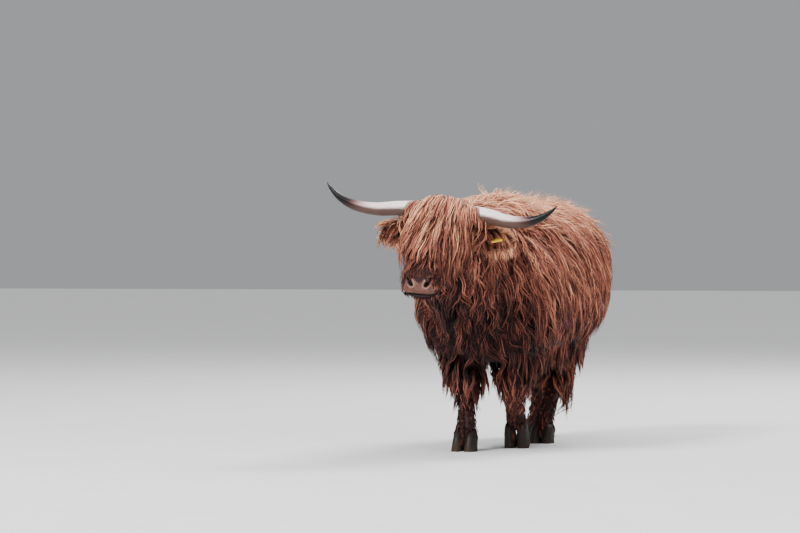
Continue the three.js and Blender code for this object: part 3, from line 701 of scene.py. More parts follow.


def scatter(form, locks):
    """Shares and turns of places spread evenly over part of a form, so many to the square metre."""
    (first, last), (low, high) = locks.shares, locks.turns
    tries = int(locks.density * TRIES)
    start = draw.random(2)
    steps = (start + np.arange(1, tries + 1)[:, None] * SPREAD_STEPS) % 1
    s = first + (last - first) * steps[:, 0]
    turn = low + (high - low) * steps[:, 1]
    here, probe = form.point(s, turn), 1e-3
    along, across = form.point(s + probe, turn) - here, form.point(s, turn + 1) - here
    area = np.linalg.norm(np.cross(along, across), axis=1) / probe * (last - first) * (high - low)
    kept = draw.random(tries) < locks.density * area / tries
    return s[kept], turn[kept]


def walk(locks, root, normal, lie, fall, length, depth, reach, curl):
    """The line of a lock, which follows the body down the lie of the coat while it rises to its full
    depth, and hangs free from an underside. Returns its points and the way up at each."""
    tree = dome_tree if locks.domed else body_tree
    push = 1 if locks.base == ROOT else 0.6
    steps = max(4, round(locks.length / WALK_STEP))
    stride = length / steps
    point = root + normal * (ROOT * depth)
    line, ups = [point[:]], [normal[:]]
    ahead, free = None, False
    for step in range(1, steps + 1):
        share = step / steps
        if free:
            ahead = ahead * HANGING[0] + DOWN * HANGING[1]
        else:
            aim = lie.lerp(fall, min(1, 1.4 * share))
            want = aim + aim.cross(normal) * (curl * (share - 0.35))
            want = (want - normal * want.dot(normal)).normalized()
            ahead = want if ahead is None else ahead * COURSE[0] + want * COURSE[1]
        ahead.normalize()
        before = point
        point = point + ahead * stride
        near, normal, _, _ = tree.find_nearest(point)
        height = (point - near).dot(normal)
        wanted = depth * (locks.base + (reach - locks.base) * share**locks.rise)
        if height < wanted:
            point = point + normal * (wanted - height) * push
        elif not free:
            point = point + normal * (wanted - height) * HUG
        free = normal.z < locks.hang and height > wanted - abs(wanted) * 0.5
        point.z = max(point.z, FLOOR_GAP)
        ahead = (point - before).normalized()
        line.append(point[:])
        ups.append(ups[-1] if free else normal[:])
    return line, ups


def grow(locks):
    """Strands of one kind of lock, as their points, attributes and places on the map of the skin."""
    form = FORMS[locks.form]
    s, turn = scatter(form, locks)
    spots = form.point(s, turn)
    if locks.where:
        kept = locks.where(spots)
        s, turn, spots = s[kept], turn[kept], spots[kept]

    def by_place(value, *places):
        return value(*places) if callable(value) else np.full(len(s), value)

    depths = by_place(form.coat if locks.depth is None else locks.depth, s)
    parts, layers = by_place(locks.part, spots, turn), by_place(locks.layer, spots)
    guides, kept = [], []
    for i, spot in enumerate(spots):
        near, normal, _, far = skin_tree.find_nearest(Vector(spot))
        lean, curl, long, high = draw.uniform(-1, 1, 4)
        if far > locks.near:
            continue
        lie = Vector(locks.lie(spot, turn[i])).normalized()
        lie = lie + lie.cross(normal) * lean * locks.stray
        fall = Vector(locks.fall(spot, turn[i])).normalized() if locks.fall else lie
        length = locks.length * parts[i] * (1 + VARIED["length"] * long)
        reach = locks.reach + VARIED["raised"] + VARIED["reach"] * high - layers[i]
        line, up = walk(locks, near, normal, lie, fall, length, depths[i], reach, curl * locks.curl)
        guides.append((line, up, length))
        kept.append(i)
    s, turn, spots = s[kept], turn[kept], spots[kept]
    warmth = warmth_of(spots) if locks.warmth is None else by_place(locks.warmth, spots, s, turn)
    left, bottom, width, height = CHART[locks.form]
    chart = np.stack([left + width * ((turn % 360) / 360), bottom + height * np.clip(s, 0, 1)], 1)
    return strands_of(locks, *(np.array(column) for column in zip(*guides)), warmth, chart)


def strands_of(locks, lines, ups, lengths, warmth, chart):
    """Splits each lock into tapered strands that wave together and draw in at the tip."""
    count, steps, segments = len(lines), lines.shape[1] - 1, locks.segments
    lock = np.repeat(np.arange(count), locks.strands)
    total = len(lock)

    def vary(low, high, number=total):
        return draw.uniform(low, high, (number, 1))

    share = np.linspace(0, 1, segments + 1)[None, :]
    end = vary(0.72, 1.0)
    place = share * end * steps
    low = np.minimum(place.astype(int), steps - 1)
    part = (place - low)[..., None]

    def follow(values):
        mine = values[lock[:, None], low]
        return mine + (values[lock[:, None], low + 1] - mine) * part

    centre, up = follow(lines), unit(follow(ups))
    ahead = unit(np.gradient(centre, axis=1))
    up = squared(up, ahead)
    side = np.cross(ahead, up)
    radius, bearing = np.sqrt(draw.random((total, 1))), vary(0, 2 * math.pi)
    stray = draw.random((total, 1)) < STRAY["share"]
    profile = 1 - np.where(stray, STRAY["pinch"], locks.pinch) * share**1.3
    length = lengths[lock][:, None] * share * end
    phase = vary(0, 2 * math.pi, count)[lock] + draw.normal(0, 0.45, (total, 1))
    pace = 2 * math.pi / (locks.wavelength * vary(0.8, 1.25, count)[lock])
    swing = locks.wave * vary(0.6, 1.3) * soft(share * 1.6)
    aside = locks.spread * radius * np.cos(bearing) * profile + swing * np.sin(pace * length + phase)
    rise = 0.42 * locks.spread * radius * np.sin(bearing) * profile
    rise = rise + 0.55 * swing * np.cos(pace * length + phase)
    centre = centre + side * aside[..., None] + up * rise[..., None]
    centre[..., 2] = np.maximum(centre[..., 2], FLOOR_GAP)
    # three corners at each place along a strand, and one at its tip
    ahead = unit(np.gradient(centre, axis=1))
    up = squared(up, ahead)
    side = np.cross(ahead, up)
    twist = draw.normal(0, 0.5, (total, 1)) + 0.6 * np.sin(pace * length + phase)
    c, d = np.cos(twist)[..., None], np.sin(twist)[..., None]
    side, up = side * c + up * d, up * c - side * d
    width = locks.width * np.where(stray, STRAY["width"], vary(0.65, 1.25))
    width = width * np.interp(share, [0, 0.3, 0.7, 1], [0.7, 1, 0.7, 0.0])
    half, high = side * (width / 2)[..., None], up * (width * 0.42)[..., None]
    ring = np.stack([centre - half, centre + high, centre + half], 2)
    points = np.concatenate([ring[:, :segments].reshape(total, segments * 3, 3), centre[:, -1:]], 1)
    along = np.append(np.repeat(share[0, :segments], 3), 1.0)
    warmth = np.repeat(warmth[lock][:, None], len(along), 1)
    if locks.warmth is None:
        warmth = 0.4 * warmth + 0.6 * warmth_of(points.reshape(-1, 3)).reshape(warmth.shape)
    lock_tone = draw.normal(0, 0.5, (count, 1))[lock]
    # random tone per lock and per strand, plus painted shade on strands that lie low in their lock and
    # painted light on those on top
    tone = 0.2 * lock_tone + 0.2 * (radius * np.sin(bearing)) + draw.normal(0, 0.23, (total, 1))
    return {
        "points": points,
        "along": np.broadcast_to(locks.start + (1 - locks.start) * along, (total, len(along))),
        "tone": np.broadcast_to(np.clip(0.5 + locks.contrast * tone, 0, 1), (total, len(along))),
        "warmth": warmth - locks.fade * along[None, :] ** 1.5,
        "chart": chart[lock] + draw.uniform(-1, 1, (total, 2)) * PATCH,
    }


def strand_faces(segments):
    """Corners of a strand's faces and how many each has: a root cap, three sides a segment, and the tip."""
    rim, tip = (segments - 1) * 3, segments * 3
    corners, sizes = [2, 1, 0], [3]
    for ring in range(0, rim, 3):
        for k in range(3):
            following = (k + 1) % 3
            corners += [ring + k, ring + following, ring + 3 + following, ring + 3 + k]
            sizes.append(4)
    for k in range(3):
        corners += [rim + k, rim + (k + 1) % 3, tip]
        sizes.append(3)
    return np.array(corners), np.array(sizes)


def coat_piece(name, strands):
    """One mesh of strands, with its attributes and the map that its colours are kept on."""
    total, each = strands["points"].shape[:2]
    pattern, sizes = strand_faces(each // 3)
    corners, sizes = (np.arange(total)[:, None] * each + pattern).ravel(), np.tile(sizes, total)
    mesh = bpy.data.meshes.new(name)
    mesh.vertices.add(total * each)
    mesh.vertices.foreach_set("co", strands["points"].ravel())
    mesh.loops.add(len(corners))
    mesh.loops.foreach_set("vertex_index", corners)
    mesh.polygons.add(len(sizes))
    mesh.polygons.foreach_set("loop_start", np.concatenate([[0], np.cumsum(sizes)[:-1]]))
    mesh.polygons.foreach_set("use_smooth", [True] * len(sizes))
    mesh.update(calc_edges=True)
    across = np.append(np.tile([0.0, 0.5, 1.0], each // 3), 0.5)
    local = np.stack([across, strands["along"][0]], 1)[pattern] * PATCH
    spots = (strands["chart"][:, None, :] + local[None]).reshape(-1, 2)
    mesh.uv_layers.new(name="OFBake").data.foreach_set("uv", np.clip(spots, 0, 1).ravel())
    for field in ("along", "tone", "warmth"):
        paint(mesh, field, strands[field].ravel())
    return dress(shown(name, mesh), HAIR, "coat")


# ---- colour of the coat, by place ----
def warmth_of(points):
    """How light and ginger the hair is, from 0 on the shanks to 1 on the top of the back; the rise with
    height is partly the hair's own sun-bleached colour and partly painted light from above, and the neck just
    behind the ears is darkened as painted shade.
    """
    x, y, z = within(points, HOME).T
    nape = 1 - 0.4 * soft((-520 - y) / 160)
    # paler and more ginger higher up: partly sun-bleached hair, partly painted light from above
    warmth = 0.13 + 0.33 * soft((z - 515) / 330) + 0.48 * soft((z - 985) / 160) * nape
    chest = soft((-400 - y) / 200) * soft((930 - z) / 190)
    under = soft((160 - z) / 100) * 0.05
    # painted shade on the neck just behind the ears, under the horns
    painted_shade_behind_ear = 0.14 * soft((-600 - y) / 100) * soft((1030 - z) / 60)
    patches = 0.05 * np.sin(x / 61 + 2) * np.sin(y / 83) + 0.04 * np.sin(z / 47 + y / 119)
    return np.clip(warmth - 0.12 * chest - painted_shade_behind_ear - under + patches, 0, 1)


def muzzle_warmth(spots, s, turn):
    """Dark over the nose, ginger beside the nostrils."""
    q = within(spots, FACE)
    return 0.16 + 0.2 * soft((np.abs(q[:, 0] - FACE_MIDDLE) - 44) / 22) * soft((-425 - q[:, 1]) / 25)


def ear_warmth(spots, s, turn):
    """Dark at the root of the ear and over both its faces, partly the ear's own darker hair and partly
    painted shade under the horn and in the cup; ginger at its edge and tip.
    """
    rim = np.abs(np.sin(np.radians(turn)))
    return 0.23 + 0.42 * soft(s * 1.1) * (0.35 + 0.65 * rim) + 0.34 * rim**4


def tail_warmth(spots, s, turn):
    return 0.24 + 0.5 * soft(1 - s * 2.2)


# ---- lie of the hair ----
def side_of(spot, centre):
    return math.tanh((spot[0] - HOME.translation.x - centre) / 0.08)


def crest(turn):
    """1 along the top of the back, 0 on the flanks."""
    return float(soft(1.3 - abs(turn - 90) / 40))


def trunk_lie(spot, turn):
    """Down and back, away from the parting along the spine, and more backward over the shoulder."""
    back = 0.2 + 0.3 * math.exp(-(((spot[1] + 0.2) / 0.25) ** 2)) + 0.55 * crest(turn)
    return (side_of(spot, -0.02) * 0.5, back, -1)


def neck_lie(spot, turn):
    return (side_of(spot, -0.08) * 0.45, 0.22 + 0.5 * crest(turn), -1)


def dock_lie(spot, turn):
    """Back over the root of the tail and down it."""
    return (side_of(spot, 0) * 0.25, 0.9, -0.7)


def down_lie(spot, turn):
    return (0, 0.06, -1)


def forelock_lie(spot, turn):
    """A fan from the poll, widest over the bases of the horns."""
    x, y, _ = within(spot, FACE)[0]
    return way(FACE, math.tanh(x / 70) * (1.1 + 1.9 * soft((y + 90) / 110)), -1, 0)


def forelock_fall(spot, turn):
    return way(HEAD, 0.1 * within(spot, FACE)[0][0] / 100, -0.32, -1)


def crown_lie(spot, turn):
    """From the back of the poll, forward and to both sides."""
    return way(FACE, math.tanh(within(spot, FACE)[0][0] / 45) * 1.1, -1, 0)


def poll_lie(spot, turn):
    """From behind the poll, up over it and forward."""
    return way(HEAD, math.tanh(within(spot, HEAD)[0][0] / 60) * 0.55, -1, 0.7)


def chin_lie(spot, turn):
    return way(FACE, 0, -0.5, -1)


def face_lie(spot, turn):
    x, _, z = within(spot, FACE)[0]
    down = soft((-60 - z) / 30)
    return way(FACE, 0.3 * x / 90 * (1 - down), -1 + 1.3 * down, -0.3 - 0.7 * down)


def upper_edge(turn):
    """1 on the upper edge of an ear, 0 on its middle and its lower edge."""
    return float(soft(math.sin(math.radians(turn)) * 2 - 1))


def ear_lie_of(side):
    """Out along the ear, up off its upper edge and down off its lower one."""
    return lambda spot, turn: way(HEAD, side * 0.9, -0.15, -0.5 + 0.85 * upper_edge(turn))


def ear_fall_of(side):
    return lambda spot, turn: (side * 0.15, -0.1, -1 + 1.1 * upper_edge(turn))


# ---- length and depth of the hair ----
def flank_part(spots, turn):
    """Hair is longest from the spine to the widest part of the flank, and shorter towards the rump."""
    rump = 1 - 0.42 * soft((within(spots, HOME)[:, 1] - 330) / 330)
    return np.interp(np.abs(turn - 90), [0, 30, 80, 110, 140, 180], [0.72, 1, 0.86, 0.62, 0.42, 0.35]) * rump


def rump_layer(spots):
    """The coat lies closer over the hips."""
    return 0.24 * soft((within(spots, HOME)[:, 1] - 250) / 250)


def neck_part(spots, turn):
    return np.interp(np.abs(turn - 90), [0, 30, 95, 128, 180], [0.6, 0.9, 1, 0.75, 0.6])


def forelock_part(spots, turn):
    """The forelock ends just over the nostrils, wherever it starts."""
    x, y, _ = within(spots, FACE).T
    return np.clip((442 + y) / 400, 0.2, 1.15) * (1 - 0.6 * np.clip(np.abs(x) / 100, 0, 1) ** 1.4)


def forelock_layer(spots):
    """Hair that starts low on the brow lies under what comes from the poll."""
    return np.interp(within(spots, FACE)[:, 1], [-260, -60], [0.75, 0.0])


def fringe_part(spots, turn):
    """Hair from the poll is shorter to the sides."""
    return 1 - 0.5 * soft(np.abs(within(spots, FACE)[:, 0]) / 90)


def brow_part(spots, turn):
    """Thin hair over the bridge of the nose, down to the nostrils."""
    return np.clip((455 + within(spots, FACE)[:, 1]) / 170, 0.2, 1)


def off_the_pad(spots):
    """Hair stops at the bare pad, the nostrils and the lips."""
    marks = muzzle_marks(within(spots, FACE))
    return np.maximum(marks["pad"], marks["pit"]) < 0.55


def shank_part(spots, turn):
    """Short on the shank, longer round the pastern, where it falls over the hoof."""
    return 0.7 + 0.75 * soft((150 - spots[:, 2] / MM) / 80)


def shank_layer(spots):
    """The hair stands out over the top of the hoof."""
    return -1.7 * soft((150 - spots[:, 2] / MM) / 45)


def ear_layer_of(side):
    """The fringe of the ear's upper edge stands off it."""
    return lambda spots: -1.1 * soft((within(spots, ear_frame(side))[:, 2] - 16) / 16)


# ---- fields of the coat ----
BODY = {"strands": 12, "segments": 7, "width": 0.0058, "spread": 0.026, "pinch": 0.6}
BODY |= {"wave": 0.008, "wavelength": 0.17}
FLANK = BODY | {"part": flank_part, "layer": rump_layer, "stray": 0.4}
BACK_HAIR = FLANK | {"strands": 11, "spread": 0.036, "pinch": 0.34, "curl": 0.9, "wave": 0.007, "stray": 0.5}
RIDGE = {"strands": 9, "segments": 5, "width": 0.006, "spread": 0.032, "wave": 0.007, "pinch": 0.3}
RIDGE |= {"curl": 0.8, "stray": 0.5, "reach": 0.8}
CHEST = BODY | {"width": 0.0053, "wave": 0.012, "wavelength": 0.14, "curl": 1.7, "contrast": 1.25}
CHEST |= {"part": neck_part, "stray": 0.45}
UNDER = {"strands": 4, "stray": 0.5, "reach": 0.5}
FINE = {"strands": 7, "segments": 6, "width": 0.0045, "spread": 0.012, "wave": 0.004, "wavelength": 0.08}
# fade darkens the tips of the forelock, poll and crown hair: partly their own redder ends, partly painted
# light that keeps the upper half lighter
FRINGE = {"fall": forelock_fall, "part": fringe_part, "strands": 6, "segments": 10, "width": 0.004}
FRINGE |= {"spread": 0.013, "wave": 0.005, "wavelength": 0.16, "curl": 0.4, "stray": 0.2, "domed": True}
FRINGE |= {"near": 0.07, "hang": -0.25, "warmth": 0.76, "fade": 0.48, "contrast": 1.4}
SWITCH = FINE | {"width": 0.006, "segments": 8, "hang": -0.12, "curl": 0.25, "stray": 0.12, "spread": 0.015}
MUZZLE = {"segments": 2, "width": 0.0016, "spread": 0.006, "wave": 0.0006, "curl": 0.2, "stray": 0.2}
UPPER = {"strands": 9, "segments": 6, "width": 0.0062, "spread": 0.018, "wave": 0.006, "wavelength": 0.12}
UPPER |= {"pinch": 0.58, "reach": 0.9, "curl": 0.6, "fade": -0.14}
SHANK = {"part": shank_part, "layer": shank_layer, "strands": 6, "segments": 3, "width": 0.0036}
SHANK |= {"spread": 0.01, "wave": 0.0006, "depth": 0.006, "contrast": 0.5, "pinch": 0.5, "fade": -0.14}
SHANK |= {"curl": 0.15, "stray": 0.12}
EAR_HAIR = FINE | {"segments": 5, "width": 0.0024, "wave": 0.0012, "spread": 0.01, "stray": 0.15}
EAR_HAIR |= {"pinch": 0.35, "curl": 0.25, "depth": 0.014, "warmth": ear_warmth, "contrast": 0.9}
fields = {
    "flank_left": Locks("trunk", (0.0, 1.0), (-60, 42), 385, 0.38, trunk_lie, **FLANK),
    "flank_right": Locks("trunk", (0.0, 1.0), (138, 240), 385, 0.38, trunk_lie, **FLANK),
    "back": Locks("trunk", (0.0, 1.0), (38, 142), 495, 0.33, trunk_lie, **BACK_HAIR),
    "crest": Locks("trunk", (0.0, 0.97), (76, 104), 900, 0.2, trunk_lie, **RIDGE),
    "nape": Locks("neck", (0.1, 0.97), (66, 114), 900, 0.2, neck_lie, **RIDGE),
    "under": Locks(
        "trunk", (0.0, 1.0), (-60, 240), 640, 0.1, trunk_lie, segments=2, width=0.014, spread=0.032,
        wave=0.006, pinch=0.2, contrast=0.6, start=0.32, **UNDER,
    ),
    "brisket": Locks(
        "neck", (0.0, 0.9), (-110, 290), 800, 0.1, neck_lie, segments=3, width=0.011, spread=0.03,
        wave=0.008, pinch=0.3, contrast=0.9, start=0.2, **UNDER,
    ),
    "seat": Locks("trunk", (0.93, 1.0), (180, 360), 780, 0.15, down_lie, **FLANK | {"part": 1.0}),
    "belly": Locks("trunk", (0.05, 0.97), (240, 300), 200, 0.13, down_lie, warmth=0.1, **BODY),
    "neck": Locks("neck", (0.0, 0.97), (-90, 270), 500, 0.27, neck_lie, **CHEST),
    "wisps": Locks(
        "trunk", (0.05, 0.98), (35, 145), 230, 0.15, trunk_lie, strands=5, segments=6, width=0.0036,
        spread=0.02, wave=0.012, wavelength=0.1, reach=1.75, rise=0.9, curl=2.4, stray=1.2, pinch=0.3,
    ),
    "forelock": Locks("scalp", (0.0, 0.82), (-30, 210), 3050, 0.41, forelock_lie, **FRINGE | {
        "part": forelock_part, "layer": forelock_layer, "strands": 7, "segments": 9, "warmth": 0.79,
        "fade": 0.7, "contrast": 1.45, "reach": -0.12, "base": -1.0, "rise": 0.45,
    }),
    "poll": Locks("neck", (0.86, 1.0), (15, 165), 4200, 0.4, poll_lie, **FRINGE | {
        "width": 0.0044, "wavelength": 0.15, "curl": 0.3, "reach": -0.2, "base": -0.55, "rise": 0.4,
    }),
    "crown": Locks("scalp", (0.0, 0.2), (0, 180), 5500, 0.35, crown_lie, **FRINGE | {
        "stray": 0.22, "reach": -0.15, "base": -0.8, "rise": 0.3,
    }),
    "brow": Locks(
        "scalp", (0.45, 0.9), (30, 150), 2600, 0.17, forelock_lie, fall=forelock_fall, part=brow_part,
        strands=4, segments=6, width=0.0038, spread=0.012, wave=0.005, wavelength=0.1, warmth=0.24,
        near=0.07, reach=0.3, base=0.05, curl=0.6, stray=0.3, depth=0.03,
    ),
    "muzzle": Locks("skull", (0.62, 0.975), (-50, 230), 15000, 0.024, face_lie, **FINE | MUZZLE | {
        "strands": 5, "warmth": muzzle_warmth, "depth": 0.0022, "where": off_the_pad, "contrast": 0.7,
    }),
    "chin": Locks("skull", (0.74, 0.97), (205, 335), 6500, 0.027, chin_lie, **FINE | {
        "strands": 5, "segments": 4, "width": 0.003, "hang": -0.2, "warmth": 0.0, "depth": 0.008,
    }),
    "cheek": Locks("skull", (0.1, 0.74), (140, 400), 1300, 0.09, face_lie, **FINE | {
        "strands": 8, "warmth": 0.2, "depth": 0.018,
    }),
    "tail": Locks(
        "tail", (0.0, 1.0), (0, 360), 2000, 0.14, down_lie, near=0.03, depth=0.018, warmth=tail_warmth, **FINE
    ),
    "dock": Locks("tail", (0.0, 0.34), (0, 360), 4300, 0.12, dock_lie, **FINE | {
        "near": 0.04, "depth": 0.016, "width": 0.005, "spread": 0.016, "pinch": 0.4, "stray": 0.4,
    }),
    "switch": Locks("tail_switch", (0.0, 0.85), (0, 360), 1150, 0.27, down_lie, warmth=0.2, **SWITCH),
}
for foot in FEET:
    fields[f"{foot}_upper"] = Locks(foot, (0.1, 0.66), (0, 360), 1300, 0.15, down_lie, **UPPER)
    fields[f"{foot}_shank"] = Locks(foot, (0.56, 1.0), (0, 360), 2700, 0.046, down_lie, **SHANK)
for name, side in SIDES.items():
    rules = {"fall": ear_fall_of(side), "layer": ear_layer_of(side)}
    fields[f"ear_{name}"] = Locks(
        f"ear_{name}", (0.05, 1.0), (0, 360), 6400, 0.072, ear_lie_of(side), **rules, **EAR_HAIR
    )


# ---- materials ----
class Wire:
    """One output in a material, with the maths on it written as expressions."""

    def __init__(self, finish, socket):
        self.finish, self.socket = finish, socket

    def _math(self, operation, *values):
        return self.finish.node("ShaderNodeMath", {"operation": operation}, dict(enumerate(values)))

    def __add__(self, other):
        return self._math("ADD", self, other)

    __radd__ = __add__

    def __sub__(self, other):
        return self._math("SUBTRACT", self, other)

    def __rsub__(self, other):
        return self._math("SUBTRACT", other, self)

    def __mul__(self, other):
        return self._math("MULTIPLY", self, other)

    __rmul__ = __mul__

    def __pow__(self, other):
        return self._math("POWER", self, other)


class Finish:
    """A material, made by adding nodes to its tree."""

    def __init__(self, name):
        self.material = bpy.data.materials.new(name)
        self.material.use_nodes = True
        self.tree = self.material.node_tree
        self.shader = self.tree.nodes["Principled BSDF"]

    def node(self, kind, settings=None, inputs=None, output=0):
        """Adds a node: its settings first, then the values or links of its sockets."""
        node = self.tree.nodes.new(kind)
        for name, value in (settings or {}).items():
            if name == "stops":
                ramp = node.color_ramp
                while len(ramp.elements) < len(value):
                    ramp.elements.new(0.5)
                for element, (place, colour) in zip(ramp.elements, value):
                    element.position = place
                    element.color = (*colour, 1)
            else:
                setattr(node, name, value)
        for name, value in (inputs or {}).items():
            self.feed(node.inputs[name], value)
        return Wire(self, node.outputs[output])

    def feed(self, socket, value):
        if isinstance(value, Wire):
            self.tree.links.new(value.socket, socket)
        elif isinstance(value, tuple) and len(value) == 3 and socket.type == "RGBA":
            socket.default_value = (*value, 1)
        else:
            socket.default_value = value

    def attribute(self, name):
        return self.node("ShaderNodeAttribute", {"attribute_name": name}, output="Fac")

    def place(self):
        return self.node("ShaderNodeTexCoord", output="Object")

    def ramp(self, value, *stops):
        return self.node("ShaderNodeValToRGB", {"stops": stops}, {"Fac": value})

    def mask(self, value, low, high):
        inputs = {"Value": value, "From Min": low, "From Max": high}
        return self.node("ShaderNodeMapRange", {"interpolation_type": "SMOOTHSTEP"}, inputs)

    def noise(self, vector, scale, detail=3.0):
        return self.node("ShaderNodeTexNoise", None, {"Vector": vector, "Scale": scale, "Detail": detail})

    def mix(self, factor, a, b, blend="MIX"):
        settings = {"data_type": "RGBA", "blend_type": blend}
        return self.node("ShaderNodeMix", settings, {0: factor, 6: a, 7: b}, output=2)

    def bump(self, height, distance, strength=1.0):
        inputs = {"Height": height, "Distance": distance, "Strength": strength}
        return self.node("ShaderNodeBump", None, inputs)

    def finish(self, **sockets):
        """Feeds the shader. A name's underscores stand for spaces."""
        for name, value in sockets.items():
            self.feed(self.shader.inputs[name.replace("_", " ")], value)
        return self.material


COAT_STOPS = [
    (0.0, (0.009, 0.004, 0.004)), (0.22, (0.043, 0.013, 0.012)), (0.46, (0.18, 0.052, 0.04)),
    (0.7, (0.48, 0.165, 0.108)), (0.88, (0.76, 0.32, 0.18)), (1.0, (0.97, 0.53, 0.31)),
]
WHITE = (1, 1, 1)


def hair_finish():
    """Hair that is darker towards the root, as painted shade down in the coat, and lighter to the tip, each
    strand in its own tone, with painted shade on the strands low in each lock.
    """
    f = Finish("highland_hair")
    along, tone, warmth = f.attribute("along"), f.attribute("tone"), f.attribute("warmth")
    colour = f.ramp(warmth + along * 0.18 + tone * 0.8 - 0.4, *COAT_STOPS)
    # painted shade: each strand darkened towards its root, where it lies down in the coat
    root = f.ramp(along, (0.0, (0.16, 0.11, 0.11)), (0.5, WHITE))
    colour = f.mix(1.0, colour, root, "MULTIPLY")
    return f.finish(Base_Color=colour, Roughness=0.42 + tone * 0.14, Specular_IOR_Level=0.16)


def skin_finish():
    """Short dense hair over the skin, painted dark as the shade between the locks of the coat, and the bare
    moist pad of the muzzle with painted shade in its nostrils and mouth.
    """
    f = Finish("highland_skin")
    warmth, pad, rim, pit = (f.attribute(name) for name in ("warmth", "pad", "rim", "pit"))
    place = f.place()
    fine, cloud = f.noise(place, 260, 2.0), f.noise(place, 30, 3)
    # painted shade: the hairy skin is kept much darker than the coat, so the gaps between locks read as
    # shadow
    colour = f.ramp(warmth**2 * 0.5 + fine * 0.2 - 0.02, *COAT_STOPS)
    pores = f.node("ShaderNodeTexVoronoi", {"feature": "DISTANCE_TO_EDGE"}, {"Vector": place, "Scale": 260.0})
    grain = f.mask(pores, 0.0, 0.25)
    dark, middling, pale = (0.05, 0.016, 0.011), (0.14, 0.049, 0.033), (0.24, 0.096, 0.067)
    bare = f.ramp(cloud + fine * 0.3, (0.4, dark), (0.64, middling), (0.88, pale))
    bare = f.mix(0.35, bare, f.ramp(grain, (0.0, (0.3, 0.25, 0.25)), (1.0, WHITE)), "MULTIPLY")
    colour = f.mix(pad, colour, bare)
    # pale pink nostril rims, brightened further as a painted highlight
    colour = f.mix(rim * 0.7, colour, (0.52, 0.25, 0.195))
    # painted shade: near black in the nostrils and along the line of the mouth
    colour = f.mix(pit, colour, (0.008, 0.004, 0.004))
    height = fine * (1 - pad) + grain * pad * 0.5
    wet = {"Roughness": 0.7 - pad * 0.3, "Coat_Weight": pad * 0.4, "Coat_Roughness": 0.3}
    return f.finish(Base_Color=colour, Normal=f.bump(height, 0.002), Specular_IOR_Level=0.2, **wet)


def floor_finish():
    f = Finish("studio_floor")
    colour = f.ramp(f.noise(f.place(), 3.0), (0.3, (0.66, 0.66, 0.65)), (0.7, (0.7, 0.7, 0.69)))
    return f.finish(Base_Color=colour, Roughness=0.8)


def horn_finish():
    """Polished horn: tan at the root, pale along the middle and dark towards the tip, with a fine grain; its
    underside is darkened as painted shade, more towards the tip, and its upper side painted a little lighter.
    """
    f = Finish("horn_sheath")
    along, above, place = f.attribute("along"), f.attribute("above"), f.place()
    cloud = f.noise(place, 14, 3)
    streak = f.noise(f.node("ShaderNodeCombineXYZ", None, {"X": along * 5.0, "Y": above * 9.0}), 2.2, 5)
    # the upper side is painted a little lighter, as if lit from above
    colour = f.ramp(
        along + streak * 0.24 - 0.12 + above * 0.05,
        (0.0, (0.5, 0.34, 0.25)), (0.26, (0.93, 0.82, 0.8)), (0.58, (0.84, 0.66, 0.65)),
        (0.7, (0.22, 0.1, 0.1)), (0.76, (0.007, 0.004, 0.004)),
    )
    # painted shade: the underside darkened, more so towards the tip
    under = f.mask(above + streak * 0.6 - 0.3 - along * 0.3, 0.3, -0.25)
    colour = f.mix(under * 0.96, colour, (0.07, 0.034, 0.022), "MULTIPLY")
    colour = f.mix(0.22, colour, f.ramp(streak, (0.35, (0.3, 0.19, 0.14)), (0.55, WHITE)), "MULTIPLY")
    normal = f.bump(streak, 0.0012, 0.4)
    return f.finish(Base_Color=colour, Roughness=0.3 + cloud * 0.15, Normal=normal, Specular_IOR_Level=0.22)


def hoof_finish():
    """Dull dark horn with growth rings, dry mud towards the ground."""
    f = Finish("hoof_horn")
    place = f.place()
    grain = f.noise(place, 90, 4)
    bands = {"Vector": place, "Scale": 60.0, "Distortion": 2.0}
    rings = f.node("ShaderNodeTexWave", {"bands_direction": "Z"}, bands)
    colour = f.ramp(grain * 0.6 + rings * 0.3, (0.2, (0.006, 0.004, 0.003)), (0.75, (0.025, 0.016, 0.012)))
    mud = f.mask(f.attribute("level") * 0.01 + f.noise(place, 25, 4) * 1.2, 0.35, -0.1)
    colour = f.mix(mud * 0.5, colour, (0.05, 0.033, 0.022))
    normal = f.bump(rings * 0.4 + grain, 0.0012, 0.35)
    return f.finish(Base_Color=colour, Specular_IOR_Level=0.2, Roughness=0.5 + mud * 0.35, Normal=normal)


def eye_finish():
    """Wet dark brown eye with a wide pupil that lies level."""
    f = Finish("wet_eye")
    a, b, front = f.attribute("iris_across"), f.attribute("iris_high"), f.attribute("iris_front")
    pupil = f.mask((a * 2.3) ** 2.0 + (b * 4.6) ** 2.0, 1.15, 0.75)
    iris = f.ramp(f.noise(f.place(), 420, 3), (0.3, (0.035, 0.014, 0.007)), (0.7, (0.1, 0.042, 0.018)))
    white = f.ramp(front, (0.55, (0.12, 0.085, 0.07)), (0.72, (0.03, 0.012, 0.008)), (0.8, WHITE))
    colour = f.mix(pupil, f.mix(1.0, iris, white, "MULTIPLY"), (0.004, 0.004, 0.006))
    return f.finish(Base_Color=colour, Roughness=0.06, Coat_Weight=1.0)


def bristle_finish():
    """Black lashes and feelers, brown where the light falls."""
    f = Finish("bristle")
    colour = f.ramp(f.noise(f.place(), 300, 2), (0.3, (0.006, 0.004, 0.004)), (0.75, (0.04, 0.018, 0.012)))
    return f.finish(Base_Color=colour, Roughness=0.4)


def tag_finish():
    """Flexible yellow plastic, a little weathered."""
    f = Finish("tag_plastic")
    dirt = f.noise(f.place(), 70, 4)
    colour = f.ramp(dirt, (0.3, (0.5, 0.31, 0.02)), (0.6, (0.78, 0.5, 0.025)))
    return f.finish(Base_Color=colour, Roughness=0.42 + dirt * 0.15, Normal=f.bump(dirt, 0.0004, 0.4))


